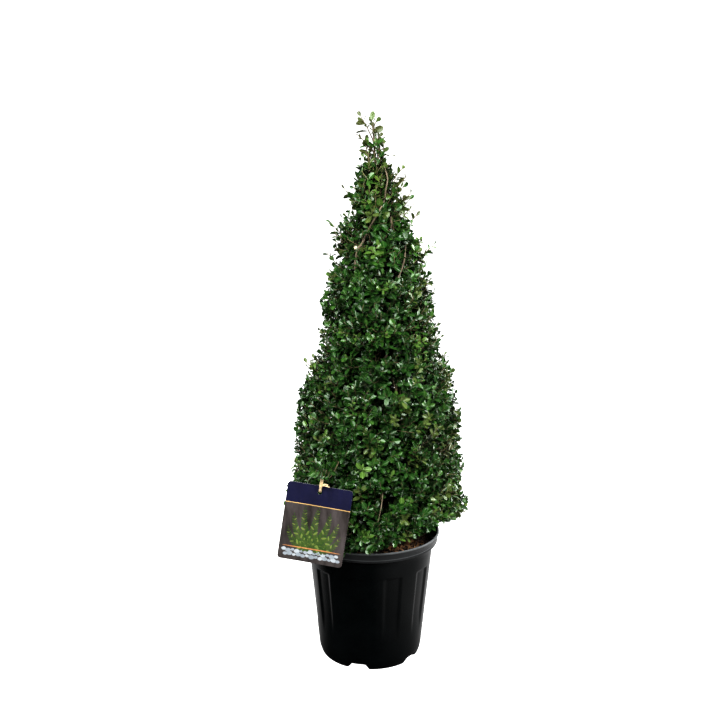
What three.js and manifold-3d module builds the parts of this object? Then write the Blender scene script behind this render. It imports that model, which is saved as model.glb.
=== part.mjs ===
// A Japanese holly clipped to a cone, standing in a black nursery pot of potting soil, with a hang tag.
// Millimetres, +Z up. The origin is the middle of the pot's underside, and -Y is the front.
// The trunk runs up through the crown. Boughs leave it on a spiral, and each carries one mass of foliage.
import * as THREE from "three";
import { mergeVertices } from "three/addons/utils/BufferGeometryUtils.js";
import Module from "manifold-3d";

const wasm = await Module();
wasm.setup();

// Clearance between solids that meet.
const SEAT_GAP = 0.3;
const GOLDEN_ANGLE = Math.PI * (3 - Math.sqrt(5));
const UP = new THREE.Vector3(0, 0, 1);

// Pot
const POT_HEIGHT = 265;
const RIM_RADIUS = 141;
const RIM_BAND = 22;
const RIM_LIP = 5;
const WALL = 2.4;
const COLLAR_RADIUS = 128;
const WALL_LOW_RADIUS = 106;
const WALL_LOW_HEIGHT = 30;
const FOOT_RADIUS = 93;
const FOOT_RING = 9;
const FLOOR_UNDERSIDE = 15;
const FLOOR_TOP = FLOOR_UNDERSIDE + WALL;
const CENTRE_FOOT_RADIUS = 24;
const CENTRE_FOOT_FLANK = 8;
const FOOT_DRAFT = 1;
const FOOT_EDGE_WIDTH = 5;
const FOOT_EDGE_HEIGHT = 3;
const HEEL_INSET = 2.5;
const BAND_DRAFT = 4;
const BAND_STEP = 2;
const RIM_ROUND = 1;
const LIP_SHOULDER = 3;
const FLUTES = 10;
const FLUTE_DEPTH = 3;
const FLUTE_TOP = 205;
const FLUTE_BOTTOM = 58;
const FLUTE_RAMP_TOP = 5;
const FLUTE_RAMP_BOTTOM = 30;
// Columns of wall in one flute's share, in degrees from the flute's middle, and how deep each column lies.
const FLUTE_COLUMNS = [-18, -9.5, -6.5, 6.5, 9.5];
const FLUTE_SHAPE = [0, 0, 1, 1, 0];
const FIRST_FLUTE = -15;
const NOTCH_WIDTH = 46;
const NOTCH_TOP_WIDTH = 24;
const NOTCH_HEIGHT = 12;
const NOTCH_ROUND = 2;
const NOTCH_REACH = 20;
const NOTCH_CUT = 60;

// Potting soil
const SOIL_EDGE = 238;
const SOIL_TOP = 244;
const SOIL_GAP = 1.8;
const STEM_BED_RADIUS = 34;
const SOIL_MIDWAY_RADIUS = 88;
const SOIL_MIDWAY_RISE = 3;
const SOIL_HEEL_WIDTH = 6;
const SOIL_HEEL_HEIGHT = 4;
const SOIL_UNEVENNESS = 5;
const SOIL_COLUMNS = 36;

// Trunk: its line, and its radius at the ground, over the flare and at the tip
const TRUNK_LINE = [
  [0, 0, SOIL_TOP + SEAT_GAP],
  [0, 0, 280],
  [8, -4, 440],
  [11, -6, 620],
  [6, -9, 760],
  [5, -8, 840],
  [10, -4, 930],
  [8, 0, 1000],
];
const TRUNK_FLARE = 17;
const TRUNK_RADIUS = 11;
const TRUNK_TIP_RADIUS = 2.4;
const FLARE_HEIGHT = 40;
const FLARE_FADE = 3;
const TAPER_POWER = 0.9;
const TRUNK_RINGS = 18;
const TRUNK_SIDES = 9;

// Crown: how far the leaf tips reach from the crown's own axis (radius, height), from the skirt to the top
const CROWN_PROFILE = [
  [104, 268],
  [150, 272],
  [176, 288],
  [183, 318],
  [168, 430],
  [160, 540],
  [139, 612],
  [121, 652],
  [107, 770],
  [89, 815],
  [86, 858],
  [60, 925],
  [52, 968],
  [40, 1001],
];
// The crown's axis leans from the pot's, as (sideways, height).
const CROWN_AXIS = [
  [6, 268],
  [13, 420],
  [16, 680],
  [12, 900],
  [6, 1001],
];

// Foliage masses and the boughs that carry them
const MASSES = 12;
const MASS_SPACING = 1.2;
const LOWEST_CENTRE = 312;
const BOUGH_REACH_SHARE = 0.45;
const BOUGH_SHORTER = 28;
const BOUGH_RISE = 26;
const BOUGH_RISE_SHARE = 0.7;
const BOUGH_TIP_DROP = 0.2;
const BOUGH_BEND = 0.5;
const LOWEST_BOUGH = 20;
const BOUGH_STEP = 7;
const BOUGH_RADIUS_LEAST = 1.2;
const BOUGH_RADIUS_SHARE = 0.42;
const BOUGH_TAPER = 0.42;
const BOUGH_SIDES = 5;
const BOUGH_RINGS = 4;
const CORE_INSET = 48;
const CORE_INSET_SHARE = 0.38;
const CORE_LIFT = 10;
const CORE_DROP = 12;
const CORE_COLUMNS = 18;
const CORE_LEVELS = 12;
const CORE_LUMP = 6;
const CORE_LUMP_SHARE = 0.125;
// Swells round the crown: how many there are, and the height over which they turn
const LUMPS_ROUND = [5, 4];
const LUMP_TWIST = [17, 29];
const CAVITY_CLEAR = 6;
const SPRIGS = 134;
const SPRIG_TRIES = 9;
const DRAWN_IN = 0.03;
const SKIRT_HEIGHT = 110;
const SPRIG_SWING = 1.2;
const SPRIG_LEAST_CLIMB = -0.5;
const SIDE_LEAVES = 3;
const STRAY_LEAVES = 5;
const LEAF_LENGTH = 50;
const LEAF_LENGTH_AT_TOP = 29;
const LEAF_LENGTH_SPREAD = 0.2;
const LARGE_LEAF_RADIUS = 180;
const SMALL_LEAF_RADIUS = 50;
const SIDE_LEAF_SHARE = 0.95;
const LEAF_LEAN = 0.8;
const LEAF_LEAN_SPREAD = 0.4;
const LEAF_STEP = 2;
const LEAF_WIDTH_SHARE = 0.54;
const LEAF_WIDEST = 0.54;
const LEAF_FOLD = 0.28;
const LEAF_THICKNESS = 1.3;
const TWIG_RADIUS = 2.6;
const TWIG_TAPER = 0.25;
const ROOT_DEPTH = 10;
const TIP_LEAF_ROOT = 1.5;
const LIMB_CLEAR = 2;

// Shoots that grew on past the clipped surface, as (degrees from the front, height, how far past)
const STRAY_SHOOTS = [
  [88, 850, 24],
  [-95, 888, 16],
  [-84, 618, 10],
  [60, 470, 10],
  [170, 760, 16],
  [225, 520, 12],
];

// The unclipped leader above the cone: its stem's top, then the tips of the side shoots that leave it
const LEADER_STEM_TOP = [4, -2, 1066];
const LEADER_TIPS = [
  { from: 0.62, tip: [-21, -4, 1101] },
  { from: 1, tip: [15, 2, 1092] },
  { from: 0.2, tip: [-32, 3, 1062] },
  { from: 0.12, tip: [47, -3, 1022] },
  { from: 0.3, tip: [10, -34, 1048] },
  { from: 0.42, tip: [14, 34, 1056] },
  { from: 0.85, tip: [-2, 20, 1094] },
];
const LEADER_LEAF = 26;
const LEADER_SIDE_LEAF_SHARE = 0.85;
const LEADER_LEAF_SPACING = 12;
const LEADER_LAST_LEAF = 0.3;
const LEADER_LEAF_ROOT = 2;
const LEADER_SHOOT_RADIUS = 1.7;
const LEADER_HIGHEST_FORK = 0.97;

// Hang tag and the raffia loop that it hangs by
const TAG_WIDTH = 124;
const TAG_HEIGHT = 150;
const TAG_THICKNESS = 0.9;
const TAG_CORNER = 6;
const TAG_HOLE_RADIUS = 4;
const TAG_HOLE_DROP = 13;
const TAG_CENTRE = [-106, -172, 337];
const TAG_ROLL = -8.5;
const TAG_YAW = -4;
const TAG_LEAN = 6;
const TAG_MARGIN = 14;
const TAG_BEHIND = 3;
const TIE_RADIUS = 1.3;
const TIE_LENGTH = 32;
const TIE_WIDTH = 18;
const TIE_SEAT = 1.15;
const TIE_BACKSET = 2;
// The twig that carries the tie: its radius, how high it lies in the loop, and its line across the loop
const HANGER_RADIUS = 2;
const HANGER_LIFT = 12.8;
const HANGER_RINGS = 10;
const HANGER_LINE = [
  [18, 8, -8],
  [6, 1, -2],
  [-9, -1, 2],
];

const paint = (color, roughness) => new THREE.MeshStandardMaterial({ color, roughness, metalness: 0 });
const materials = {
  pot: paint(0x14161a, 0.35),
  soil: paint(0x2b1d14, 0.95),
  bark: paint(0x8a7660, 0.8),
  leaf: paint(0x2c5a22, 0.4),
  youngLeaf: paint(0x6c9440, 0.45),
  card: paint(0x23224a, 0.5),
  raffia: paint(0xd9c59a, 0.7),
};

// A repeatable stream of numbers from 0 to 1.
function seededNumbers(seed) {
  let state = seed >>> 0;
  return () => {
    state = (state + 0x6d2b79f5) >>> 0;
    let mixed = Math.imul(state ^ (state >>> 15), state | 1);
    mixed ^= mixed + Math.imul(mixed ^ (mixed >>> 7), mixed | 61);
    return ((mixed ^ (mixed >>> 14)) >>> 0) / 4294967296;
  };
}

// A closed geometry as a solid, its shared vertices merged and its collapsed triangles dropped.
function solidOf(geometry) {
  const bare = new THREE.BufferGeometry().setAttribute("position", geometry.getAttribute("position"));
  bare.setIndex(geometry.index);
  const merged = mergeVertices(bare);
  const kept = [];
  for (let i = 0; i < merged.index.count; i += 3) {
    const corners = [0, 1, 2].map((k) => merged.index.getX(i + k));
    if (new Set(corners).size === 3) kept.push(...corners);
  }
  const vertProperties = merged.getAttribute("position").array;
  return new wasm.Manifold(new wasm.Mesh({ numProp: 3, vertProperties, triVerts: new Uint32Array(kept) }));
}

function geometryOf(solid) {
  const { vertProperties, triVerts } = solid.getMesh();
  const geometry = new THREE.BufferGeometry();
  geometry.setAttribute("position", new THREE.BufferAttribute(vertProperties, 3));
  geometry.setIndex(new THREE.BufferAttribute(triVerts, 1));
  geometry.computeVertexNormals();
  return geometry;
}

// The largest body of a solid, without loose scraps.
const mainBody = (solid) => solid.decompose().sort((a, b) => b.volume() - a.volume())[0];

// Moves each vertex of a geometry to where place puts it.
function reshape(geometry, place) {
  const positions = geometry.getAttribute("position");
  const vertex = new THREE.Vector3();
  for (let i = 0; i < positions.count; i++) {
    const moved = place(vertex.fromBufferAttribute(positions, i));
    positions.setXYZ(i, moved.x, moved.y, moved.z);
  }
  return geometry;
}

// The column of a turned geometry that a vertex stands in.
function columnOf(v, columns) {
  const turn = Math.atan2(v.x, v.z) / (2 * Math.PI);
  return Math.round((turn + 1) * columns) % columns;
}

// A tapering limb: a cylinder bent along a curve, with its radius given from 0 at the root to 1 at the tip.
function limb(curve, radiusAt, sides, rings) {
  const frames = curve.computeFrenetFrames(rings, false);
  return reshape(new THREE.CylinderGeometry(1, 1, 1, sides, rings), (v) => {
    const ring = Math.round((v.y + 0.5) * rings);
    const radius = radiusAt(ring / rings);
    return curve
      .getPointAt(ring / rings)
      .addScaledVector(frames.normals[ring], v.x * radius)
      .addScaledVector(frames.binormals[ring], -v.z * radius);
  });
}

// The value at a height on a list of (value, height) points.
function valueAtHeight(points, height) {
  const next = points.findIndex(([, h]) => h >= height);
  if (next < 0) return points.at(-1)[0];
  if (next === 0) return points[0][0];
  const [[low, lowHeight], [high, highHeight]] = [points[next - 1], points[next]];
  return THREE.MathUtils.mapLinear(height, lowHeight, highHeight, low, high);
}

// Pot

const wallRadius = (z) =>
  THREE.MathUtils.mapLinear(z, WALL_LOW_HEIGHT, POT_HEIGHT - RIM_BAND, WALL_LOW_RADIUS, COLLAR_RADIUS);

function fluteDepth(z) {
  const fromTop = (FLUTE_TOP - z) / FLUTE_RAMP_TOP;
  const fromBottom = (z - FLUTE_BOTTOM) / FLUTE_RAMP_BOTTOM;
  return FLUTE_DEPTH * THREE.MathUtils.clamp(Math.min(fromTop, fromBottom), 0, 1);
}

// The pot's section, from the underside's middle out and up the outside, over the rim and down the inside.
function potSection() {
  const wallLevels = [
    WALL_LOW_HEIGHT,
    FLUTE_BOTTOM,
    FLUTE_BOTTOM + FLUTE_RAMP_BOTTOM,
    FLUTE_TOP - FLUTE_RAMP_TOP,
    FLUTE_TOP,
    POT_HEIGHT - RIM_BAND - BAND_STEP,
  ];
  const outside = wallLevels.map((z) => [wallRadius(z), z]);
  const inside = outside.map(([r, z]) => [r - WALL, z]).reverse();
  const bandBottom = POT_HEIGHT - RIM_BAND;
  const foot = [
    [0, 0],
    [CENTRE_FOOT_RADIUS, 0],
    [CENTRE_FOOT_RADIUS + CENTRE_FOOT_FLANK, FLOOR_UNDERSIDE],
    [FOOT_RADIUS - FOOT_RING - FOOT_DRAFT, FLOOR_UNDERSIDE],
    [FOOT_RADIUS - FOOT_RING, 0],
    [FOOT_RADIUS, 0],
    [FOOT_RADIUS + FOOT_EDGE_WIDTH, FOOT_EDGE_HEIGHT],
    [WALL_LOW_RADIUS - HEEL_INSET, FLOOR_UNDERSIDE],
  ];
  const rim = [
    [RIM_RADIUS - BAND_DRAFT, bandBottom],
    [RIM_RADIUS, POT_HEIGHT - RIM_ROUND],
    [RIM_RADIUS - RIM_LIP / 2, POT_HEIGHT],
    [RIM_RADIUS - RIM_LIP - BAND_STEP, bandBottom + LIP_SHOULDER],
  ];
  const floor = [
    [WALL_LOW_RADIUS - HEEL_INSET - WALL, FLOOR_TOP],
    [0, FLOOR_TOP],
  ];
  return [...foot, ...outside, ...rim, ...inside, ...floor];
}

function potBody() {
  const points = potSection().map(([r, z]) => new THREE.Vector2(r, z));
  const columns = FLUTES * FLUTE_COLUMNS.length;
  const share = 360 / FLUTES;
  const turned = new THREE.LatheGeometry(points, columns);
  const isWall = (z) => z > FLUTE_BOTTOM && z < FLUTE_TOP;
  return reshape(turned, (v) => {
    const column = columnOf(v, columns);
    const step = column % FLUTE_COLUMNS.length;
    const flute = Math.floor(column / FLUTE_COLUMNS.length);
    const angle = THREE.MathUtils.degToRad(FIRST_FLUTE + flute * share + FLUTE_COLUMNS[step]);
    const depth = isWall(v.y) ? fluteDepth(v.y) * FLUTE_SHAPE[step] : 0;
    const radius = Math.hypot(v.x, v.z) - depth;
    return new THREE.Vector3(radius * Math.sin(angle), -radius * Math.cos(angle), v.y);
  });
}

// One drain notch in the foot ring, below every second flute.
function drainNotch(angle) {
  const arch = new THREE.Shape();
  arch.moveTo(-NOTCH_WIDTH / 2, -1);
  arch.lineTo(NOTCH_WIDTH / 2, -1);
  arch.lineTo(NOTCH_TOP_WIDTH / 2, NOTCH_HEIGHT - NOTCH_ROUND);
  arch.quadraticCurveTo(0, NOTCH_HEIGHT + NOTCH_ROUND, -NOTCH_TOP_WIDTH / 2, NOTCH_HEIGHT - NOTCH_ROUND);
  const cut = { depth: NOTCH_CUT, bevelEnabled: false, curveSegments: 4 };
  return new THREE.ExtrudeGeometry(arch, cut)
    .rotateX(Math.PI / 2)
    .translate(0, -(FOOT_RADIUS - FOOT_RING - NOTCH_REACH), 0)
    .rotateZ(angle);
}

function potGeometry() {
  let body = solidOf(potBody());
  for (let flute = 0; flute < FLUTES; flute += 2) {
    const angle = THREE.MathUtils.degToRad(FIRST_FLUTE + (flute * 360) / FLUTES);
    body = body.subtract(solidOf(drainNotch(angle)));
  }
  return geometryOf(body);
}

// Potting soil, level round the stem and a little uneven out to the wall
function soilGeometry() {
  const random = seededNumbers(11);
  const edge = (z) => wallRadius(z) - WALL - FLUTE_DEPTH - SOIL_GAP;
  const section = [
    [0, FLOOR_TOP + SEAT_GAP],
    [edge(WALL_LOW_HEIGHT) - SOIL_HEEL_WIDTH, FLOOR_TOP + SEAT_GAP],
    [edge(WALL_LOW_HEIGHT), WALL_LOW_HEIGHT + SOIL_HEEL_HEIGHT],
    [edge(SOIL_EDGE), SOIL_EDGE],
    [SOIL_MIDWAY_RADIUS, SOIL_EDGE + SOIL_MIDWAY_RISE],
    [STEM_BED_RADIUS, SOIL_TOP],
    [0, SOIL_TOP],
  ];
  const unevenness = Array.from({ length: SOIL_COLUMNS }, () => (random() - 0.5) * SOIL_UNEVENNESS);
  const turned = new THREE.LatheGeometry(section.map(([r, z]) => new THREE.Vector2(r, z)), SOIL_COLUMNS);
  const uneven = reshape(turned, (v) => {
    const column = columnOf(v, SOIL_COLUMNS);
    const onTop = v.y >= SOIL_EDGE && v.y < SOIL_TOP;
    return new THREE.Vector3(v.x, -v.z, v.y + (onTop ? unevenness[column] : 0));
  });
  return geometryOf(solidOf(uneven));
}

// Trunk

const trunkCurve = new THREE.CatmullRomCurve3(TRUNK_LINE.map((p) => new THREE.Vector3(...p)));

function trunkRadius(z) {
  const above = z - SOIL_TOP;
  const share = THREE.MathUtils.clamp(above / (TRUNK_LINE.at(-1)[2] - SOIL_TOP), 0, 1);
  const taper = THREE.MathUtils.lerp(TRUNK_RADIUS, TRUNK_TIP_RADIUS, share ** TAPER_POWER);
  const flare = (TRUNK_FLARE - TRUNK_RADIUS) * Math.exp((-FLARE_FADE * above) / FLARE_HEIGHT);
  return taper + flare;
}

const trunkPoint = (z) => {
  const points = trunkCurve.getPoints(120);
  const next = Math.max(1, points.findIndex((p) => p.z >= z));
  const [below, above] = [points[next - 1], points[next]];
  return below.clone().lerp(above, (z - below.z) / (above.z - below.z));
};

// The trunk, or the same limb grown by a clearance for cutting what stands against it.
function trunkLimb(clearance) {
  const radiusAt = (t) => trunkRadius(trunkCurve.getPointAt(t).z) + clearance;
  return limb(trunkCurve, radiusAt, TRUNK_SIDES, TRUNK_RINGS);
}

// The crown's outer shape

const crownProfile = new THREE.SplineCurve(CROWN_PROFILE.map(([r, z]) => new THREE.Vector2(r, z)));
const crownOutline = crownProfile.getPoints(160).map((p) => [p.x, p.y]);
const crownAxis = (z) => new THREE.Vector3(valueAtHeight(CROWN_AXIS, z), 0, z);
const crownRadius = (z) => valueAtHeight(crownOutline, z);
const CROWN_BOTTOM = CROWN_PROFILE[0][1];
const CROWN_TOP = CROWN_PROFILE.at(-1)[1];

const outward = (angle) => new THREE.Vector3(Math.sin(angle), -Math.cos(angle), 0);
const insideCrown = (p, inset) =>
  p.z > CROWN_BOTTOM && p.z < CROWN_TOP - 1 && p.distanceTo(crownAxis(p.z)) < crownRadius(p.z) - inset;

// A place on the crown's surface, or past it.
function crownSite(angle, z, past = 0) {
  const radius = crownRadius(z);
  return { angle, z, past, radius, point: crownAxis(z).addScaledVector(outward(angle), radius) };
}

// Places spread evenly over the crown's surface on a golden spiral, from the skirt to the top.
function crownSites(count) {
  const rings = crownOutline.slice(1).map(([r, z], i) => {
    const [lastR, lastZ] = crownOutline[i];
    return { z, area: ((r + lastR) / 2) * Math.hypot(r - lastR, z - lastZ) };
  });
  const total = rings.reduce((sum, ring) => sum + ring.area, 0);
  let ring = 0;
  let passed = 0;
  return Array.from({ length: count }, (_, i) => {
    while (passed + rings[ring].area < (total * (i + 0.5)) / count) passed += rings[ring++].area;
    return crownSite(i * GOLDEN_ANGLE, rings[ring].z);
  });
}

// Each mass's own space is what lies nearest to its centre. Its bough ends inside the core, pointing there.
const coreInset = (radius) => Math.min(CORE_INSET, CORE_INSET_SHARE * radius);
const coreRadius = (z) => crownRadius(z) - coreInset(crownRadius(z));
const boughReach = (z) => (crownRadius(Math.max(z, LOWEST_CENTRE)) - BOUGH_SHORTER) * BOUGH_REACH_SHARE;
const masses = crownSites(MASSES).map((site, i) => {
  const { angle } = site;
  const z = Math.max(site.z, LOWEST_CENTRE);
  const out = outward(angle);
  const reach = boughReach(z);
  const centre = crownAxis(z).addScaledVector(out, (reach + coreRadius(z)) / 2);
  const tip = crownAxis(z).addScaledVector(out, reach);
  tip.z -= reach * BOUGH_TIP_DROP;
  return { name: String(i + 1).padStart(2, "0"), angle, z, centre, tip, reach };
});

function inOwnSpace(p, mass) {
  if (p.z > CROWN_TOP - 1) return false;
  return masses.every((other) => {
    if (other === mass) return true;
    const apart = other.centre.distanceTo(mass.centre);
    return p.distanceToSquared(other.centre) - p.distanceToSquared(mass.centre) > MASS_SPACING * apart;
  });
}

// A bough leaves the trunk, rises and ends pointing at the middle of its mass.
function boughCurve(mass, i) {
  const rise = mass.reach * BOUGH_RISE_SHARE + BOUGH_RISE;
  const root = trunkPoint(Math.max(mass.tip.z - rise, SOIL_TOP + LOWEST_BOUGH + i * BOUGH_STEP));
  const heading = mass.centre.clone().sub(mass.tip).normalize();
  const bend = mass.tip.clone().addScaledVector(heading, -BOUGH_BEND * mass.tip.distanceTo(root));
  return new THREE.QuadraticBezierCurve3(root, bend, mass.tip);
}

masses.forEach((mass, i) => {
  mass.bough = boughCurve(mass, i);
  const rootRadius = BOUGH_RADIUS_LEAST + BOUGH_RADIUS_SHARE * trunkRadius(mass.bough.v0.z);
  mass.boughRadius = (t) => rootRadius * (1 - BOUGH_TAPER * t);
});

function boughGeometry(mass) {
  const whole = solidOf(limb(mass.bough, mass.boughRadius, BOUGH_SIDES, BOUGH_RINGS));
  return geometryOf(mainBody(whole.subtract(solidOf(trunkLimb(SEAT_GAP)))));
}

const limbLines = [
  { points: trunkCurve.getPoints(90), radiusAt: (p) => trunkRadius(p.z) },
  ...masses.map(({ bough, boughRadius }) => ({
    points: bough.getPoints(12),
    radiusAt: () => boughRadius(0),
  })),
];
const touchesLimb = (points) =>
  limbLines.some(({ points: line, radiusAt }) =>
    line.some((q) => points.some((p) => p.distanceTo(q) < radiusAt(q) + LIMB_CLEAR)),
  );

// Hang tag: its place, and the room round it and its tie that leaves keep clear of

const tagPlace = new THREE.Group();
tagPlace.position.set(...TAG_CENTRE);
tagPlace.rotateZ(THREE.MathUtils.degToRad(TAG_YAW));
tagPlace.rotateX(THREE.MathUtils.degToRad(90 - TAG_LEAN));
tagPlace.rotateZ(THREE.MathUtils.degToRad(TAG_ROLL));
tagPlace.updateMatrixWorld();
const toTag = tagPlace.matrixWorld.clone().invert();
const holeHeight = TAG_HEIGHT / 2 - TAG_HOLE_DROP;
const tieCentre = new THREE.Vector3(0, holeHeight + TIE_LENGTH / 2 + TIE_SEAT, -TIE_BACKSET);

const nearTag = (points) =>
  points.some((p) => {
    const local = p.clone().applyMatrix4(toTag);
    const beside =
      Math.abs(local.x) > TAG_WIDTH / 2 + TAG_MARGIN || Math.abs(local.y) > TAG_HEIGHT / 2 + TAG_MARGIN;
    return (!beside && local.z > -TAG_BEHIND) || local.distanceTo(tieCentre) < TIE_LENGTH / 2 + TAG_MARGIN;
  });

function tagGeometry() {
  const [w, h, c] = [TAG_WIDTH / 2, TAG_HEIGHT / 2, TAG_CORNER];
  const card = new THREE.Shape();
  card.moveTo(-w + c, -h);
  card.lineTo(w - c, -h).quadraticCurveTo(w, -h, w, -h + c);
  card.lineTo(w, h - c).quadraticCurveTo(w, h, w - c, h);
  card.lineTo(-w + c, h).quadraticCurveTo(-w, h, -w, h - c);
  card.lineTo(-w, -h + c).quadraticCurveTo(-w, -h, -w + c, -h);
  card.holes.push(new THREE.Path().absarc(0, holeHeight, TAG_HOLE_RADIUS, 0, 2 * Math.PI, true));
  return new THREE.ExtrudeGeometry(card, { depth: TAG_THICKNESS, bevelEnabled: false, curveSegments: 4 });
}

// The raffia loop goes through the tag's hole, over its top edge and round a twig behind.
function tieGeometry() {
  const slim = 0.1;
  return reshape(new THREE.TorusGeometry(1, slim, 5, 16), (v) => {
    const turn = Math.atan2(v.y, v.x);
    const thick = v.clone().sub(new THREE.Vector3(Math.cos(turn), Math.sin(turn), 0));
    thick.multiplyScalar(TIE_RADIUS / slim);
    const across = (Math.cos(turn) * TIE_WIDTH) / 2 + thick.x;
    const along = (Math.sin(turn) * TIE_LENGTH) / 2 + thick.y;
    return new THREE.Vector3(-thick.z, along, across).add(tieCentre);
  });
}

// Leaves, sprigs and masses

// A leaf blade of eight faces from its root along a direction, its two halves folded up a little.
function leafGeometry(root, along, face, length) {
  const side = new THREE.Vector3().crossVectors(along, face).normalize();
  const normal = new THREE.Vector3().crossVectors(side, along).normalize();
  const halfWidth = (length * LEAF_WIDTH_SHARE) / 2;
  return reshape(new THREE.OctahedronGeometry(1), (v) => {
    const way = v.y > 0.5 ? length : v.y < -0.5 ? 0 : length * LEAF_WIDEST;
    const lift = halfWidth * LEAF_FOLD * Math.abs(v.x) + (LEAF_THICKNESS / 2) * v.z;
    return root
      .clone()
      .addScaledVector(along, way)
      .addScaledVector(side, v.x * halfWidth)
      .addScaledVector(normal, lift);
  });
}

const cornersOf = (geometry) => {
  const positions = geometry.getAttribute("position");
  const corner = (_, i) => new THREE.Vector3().fromBufferAttribute(positions, i);
  return Array.from({ length: positions.count }, corner);
};

const twig = (from, to, radius) =>
  limb(new THREE.LineCurve3(from, to), (t) => radius * (1 - TWIG_TAPER * t), 3, 1);

// The ways in which a three-sided twig's faces look.
function twigSides(from, to) {
  const way = to.clone().sub(from).normalize();
  const { binormals } = new THREE.LineCurve3(from, to).computeFrenetFrames(1, false);
  return [0, 1, 2].map((k) => binormals[0].clone().applyAxisAngle(way, (k * 2 * Math.PI) / 3));
}

const hits = (solid, others) => others.some((other) => !solid.intersect(other).isEmpty());

// A solid of revolution about the crown's leaning axis.
function roundCrownAxis(radiusAt, bottom, top) {
  const levelAt = (_, i) => bottom + ((top - bottom) * i) / (CORE_LEVELS - 1);
  const levels = Array.from({ length: CORE_LEVELS }, levelAt);
  const section = [
    new THREE.Vector2(0, bottom),
    ...levels.map((z) => new THREE.Vector2(radiusAt(z), z)),
    new THREE.Vector2(0, top),
  ];
  const turned = new THREE.LatheGeometry(section, CORE_COLUMNS);
  return reshape(turned, (v) => new THREE.Vector3(v.x, -v.z, 0).add(crownAxis(v.y)));
}

// Swells and dimples a surface round the crown's axis.
function lumpy(geometry) {
  return reshape(geometry, (v) => {
    const axis = crownAxis(v.z);
    const away = v.clone().sub(axis);
    const angle = Math.atan2(away.y, away.x);
    const swell = Math.sin(LUMPS_ROUND[0] * angle + v.z / LUMP_TWIST[0]);
    const lump = swell * Math.cos(LUMPS_ROUND[1] * angle - v.z / LUMP_TWIST[1]);
    const share = Math.min(CORE_LUMP, away.length() * CORE_LUMP_SHARE) / Math.max(away.length(), 1);
    return axis.addScaledVector(away, 1 + lump * share);
  });
}

// The crown's dense middle, hollow round the trunk and the boughs.
const cavityRadius = (z) => boughReach(z) + CAVITY_CLEAR;
const coreWhole = solidOf(lumpy(roundCrownAxis(coreRadius, CROWN_BOTTOM + CORE_LIFT, CROWN_TOP - CORE_DROP)));
const coreShell = coreWhole.subtract(solidOf(roundCrownAxis(cavityRadius, CROWN_BOTTOM - 1, CROWN_TOP)));

const insideCore = (p) => {
  const away = p.distanceTo(crownAxis(p.z));
  const between = p.z > CROWN_BOTTOM + CORE_LIFT && p.z < CROWN_TOP - CORE_DROP;
  return between && away < coreRadius(p.z) && away > cavityRadius(p.z);
};

// A mass's core is the share of the shell that lies in its own space.
function massCore(mass) {
  const share = masses.reduce((solid, other) => {
    if (other === mass) return solid;
    const towards = mass.centre.clone().sub(other.centre).normalize();
    const middle = mass.centre.clone().add(other.centre).multiplyScalar(0.5);
    return solid.trimByPlane(towards.toArray(), middle.dot(towards) + MASS_SPACING / 2);
  }, coreShell);
  return mainBody(share);
}

// A leaf that keeps to its mass's space, clear of the limbs, the tag and all that is there, or nothing.
function leafThatFits(mass, { angle, past }, at, along, length, there) {
  const blade = leafGeometry(at, along, outward(angle).add(UP), length);
  const corners = cornersOf(blade);
  const inReach = corners.every((p) => insideCrown(p, -past - 1) && inOwnSpace(p, mass));
  if (!inReach || touchesLimb(corners) || nearTag(corners)) return [];
  const solid = solidOf(blade);
  return hits(solid, there) ? [] : [solid];
}

// A sprig is a twig that rises out of the core, with a leaf at its tip and others out of its sides below.
function sprig(mass, site, core, there, random) {
  const { angle, radius, point, past } = site;
  const fullness = (radius - SMALL_LEAF_RADIUS) / (LARGE_LEAF_RADIUS - SMALL_LEAF_RADIUS);
  const usual = THREE.MathUtils.lerp(LEAF_LENGTH_AT_TOP, LEAF_LENGTH, THREE.MathUtils.clamp(fullness, 0, 1));
  const length = usual * (1 + LEAF_LENGTH_SPREAD * (random() - 0.5));
  const swing = (random() - 0.5) * SPRIG_SWING;
  const climb = THREE.MathUtils.clamp((point.z - CROWN_BOTTOM) / SKIRT_HEIGHT, 0, 1) + SPRIG_LEAST_CLIMB;
  const heading = outward(angle + swing).addScaledVector(UP, climb + random()).normalize();
  const tip = point.clone().addScaledVector(outward(angle), past);
  const twigEnd = tip.clone().addScaledVector(heading, -length);
  let bare = 1;
  const downTwig = (distance) => twigEnd.clone().addScaledVector(heading, -distance);
  while (bare < 2 * CORE_INSET && !insideCore(downTwig(bare))) bare += 1;
  const root = downTwig(bare + ROOT_DEPTH);
  const stalkGeometry = twig(root, twigEnd, TWIG_RADIUS);
  const stalk = solidOf(stalkGeometry);
  const inSpace = cornersOf(stalkGeometry).every((p) => p.z > CROWN_BOTTOM && inOwnSpace(p, mass));
  if (!inSpace || !insideCore(root) || touchesLimb([root, twigEnd]) || hits(stalk, there)) return [];

  const leaves = [];
  const addLeaf = (at, along, size) => {
    leaves.push(...leafThatFits(mass, site, at, along, size, [core, ...there, ...leaves]));
  };
  addLeaf(downTwig(TIP_LEAF_ROOT), heading, length);
  if (!leaves.length) return [];
  const count = past ? STRAY_LEAVES : SIDE_LEAVES;
  const sides = twigSides(root, twigEnd);
  for (let k = 0; k < count; k++) {
    const at = downTwig(TIP_LEAF_ROOT + LEAF_STEP + (bare * k) / count);
    const before = leaves.length;
    for (let attempt = 0; attempt < SPRIG_TRIES && leaves.length === before; attempt++) {
      const lean = LEAF_LEAN + LEAF_LEAN_SPREAD * random();
      const along = heading.clone().multiplyScalar(Math.cos(lean));
      along.addScaledVector(sides[(k + attempt) % sides.length], Math.sin(lean));
      addLeaf(at, along, length * SIDE_LEAF_SHARE);
    }
  }
  return [stalk, ...leaves];
}

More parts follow.
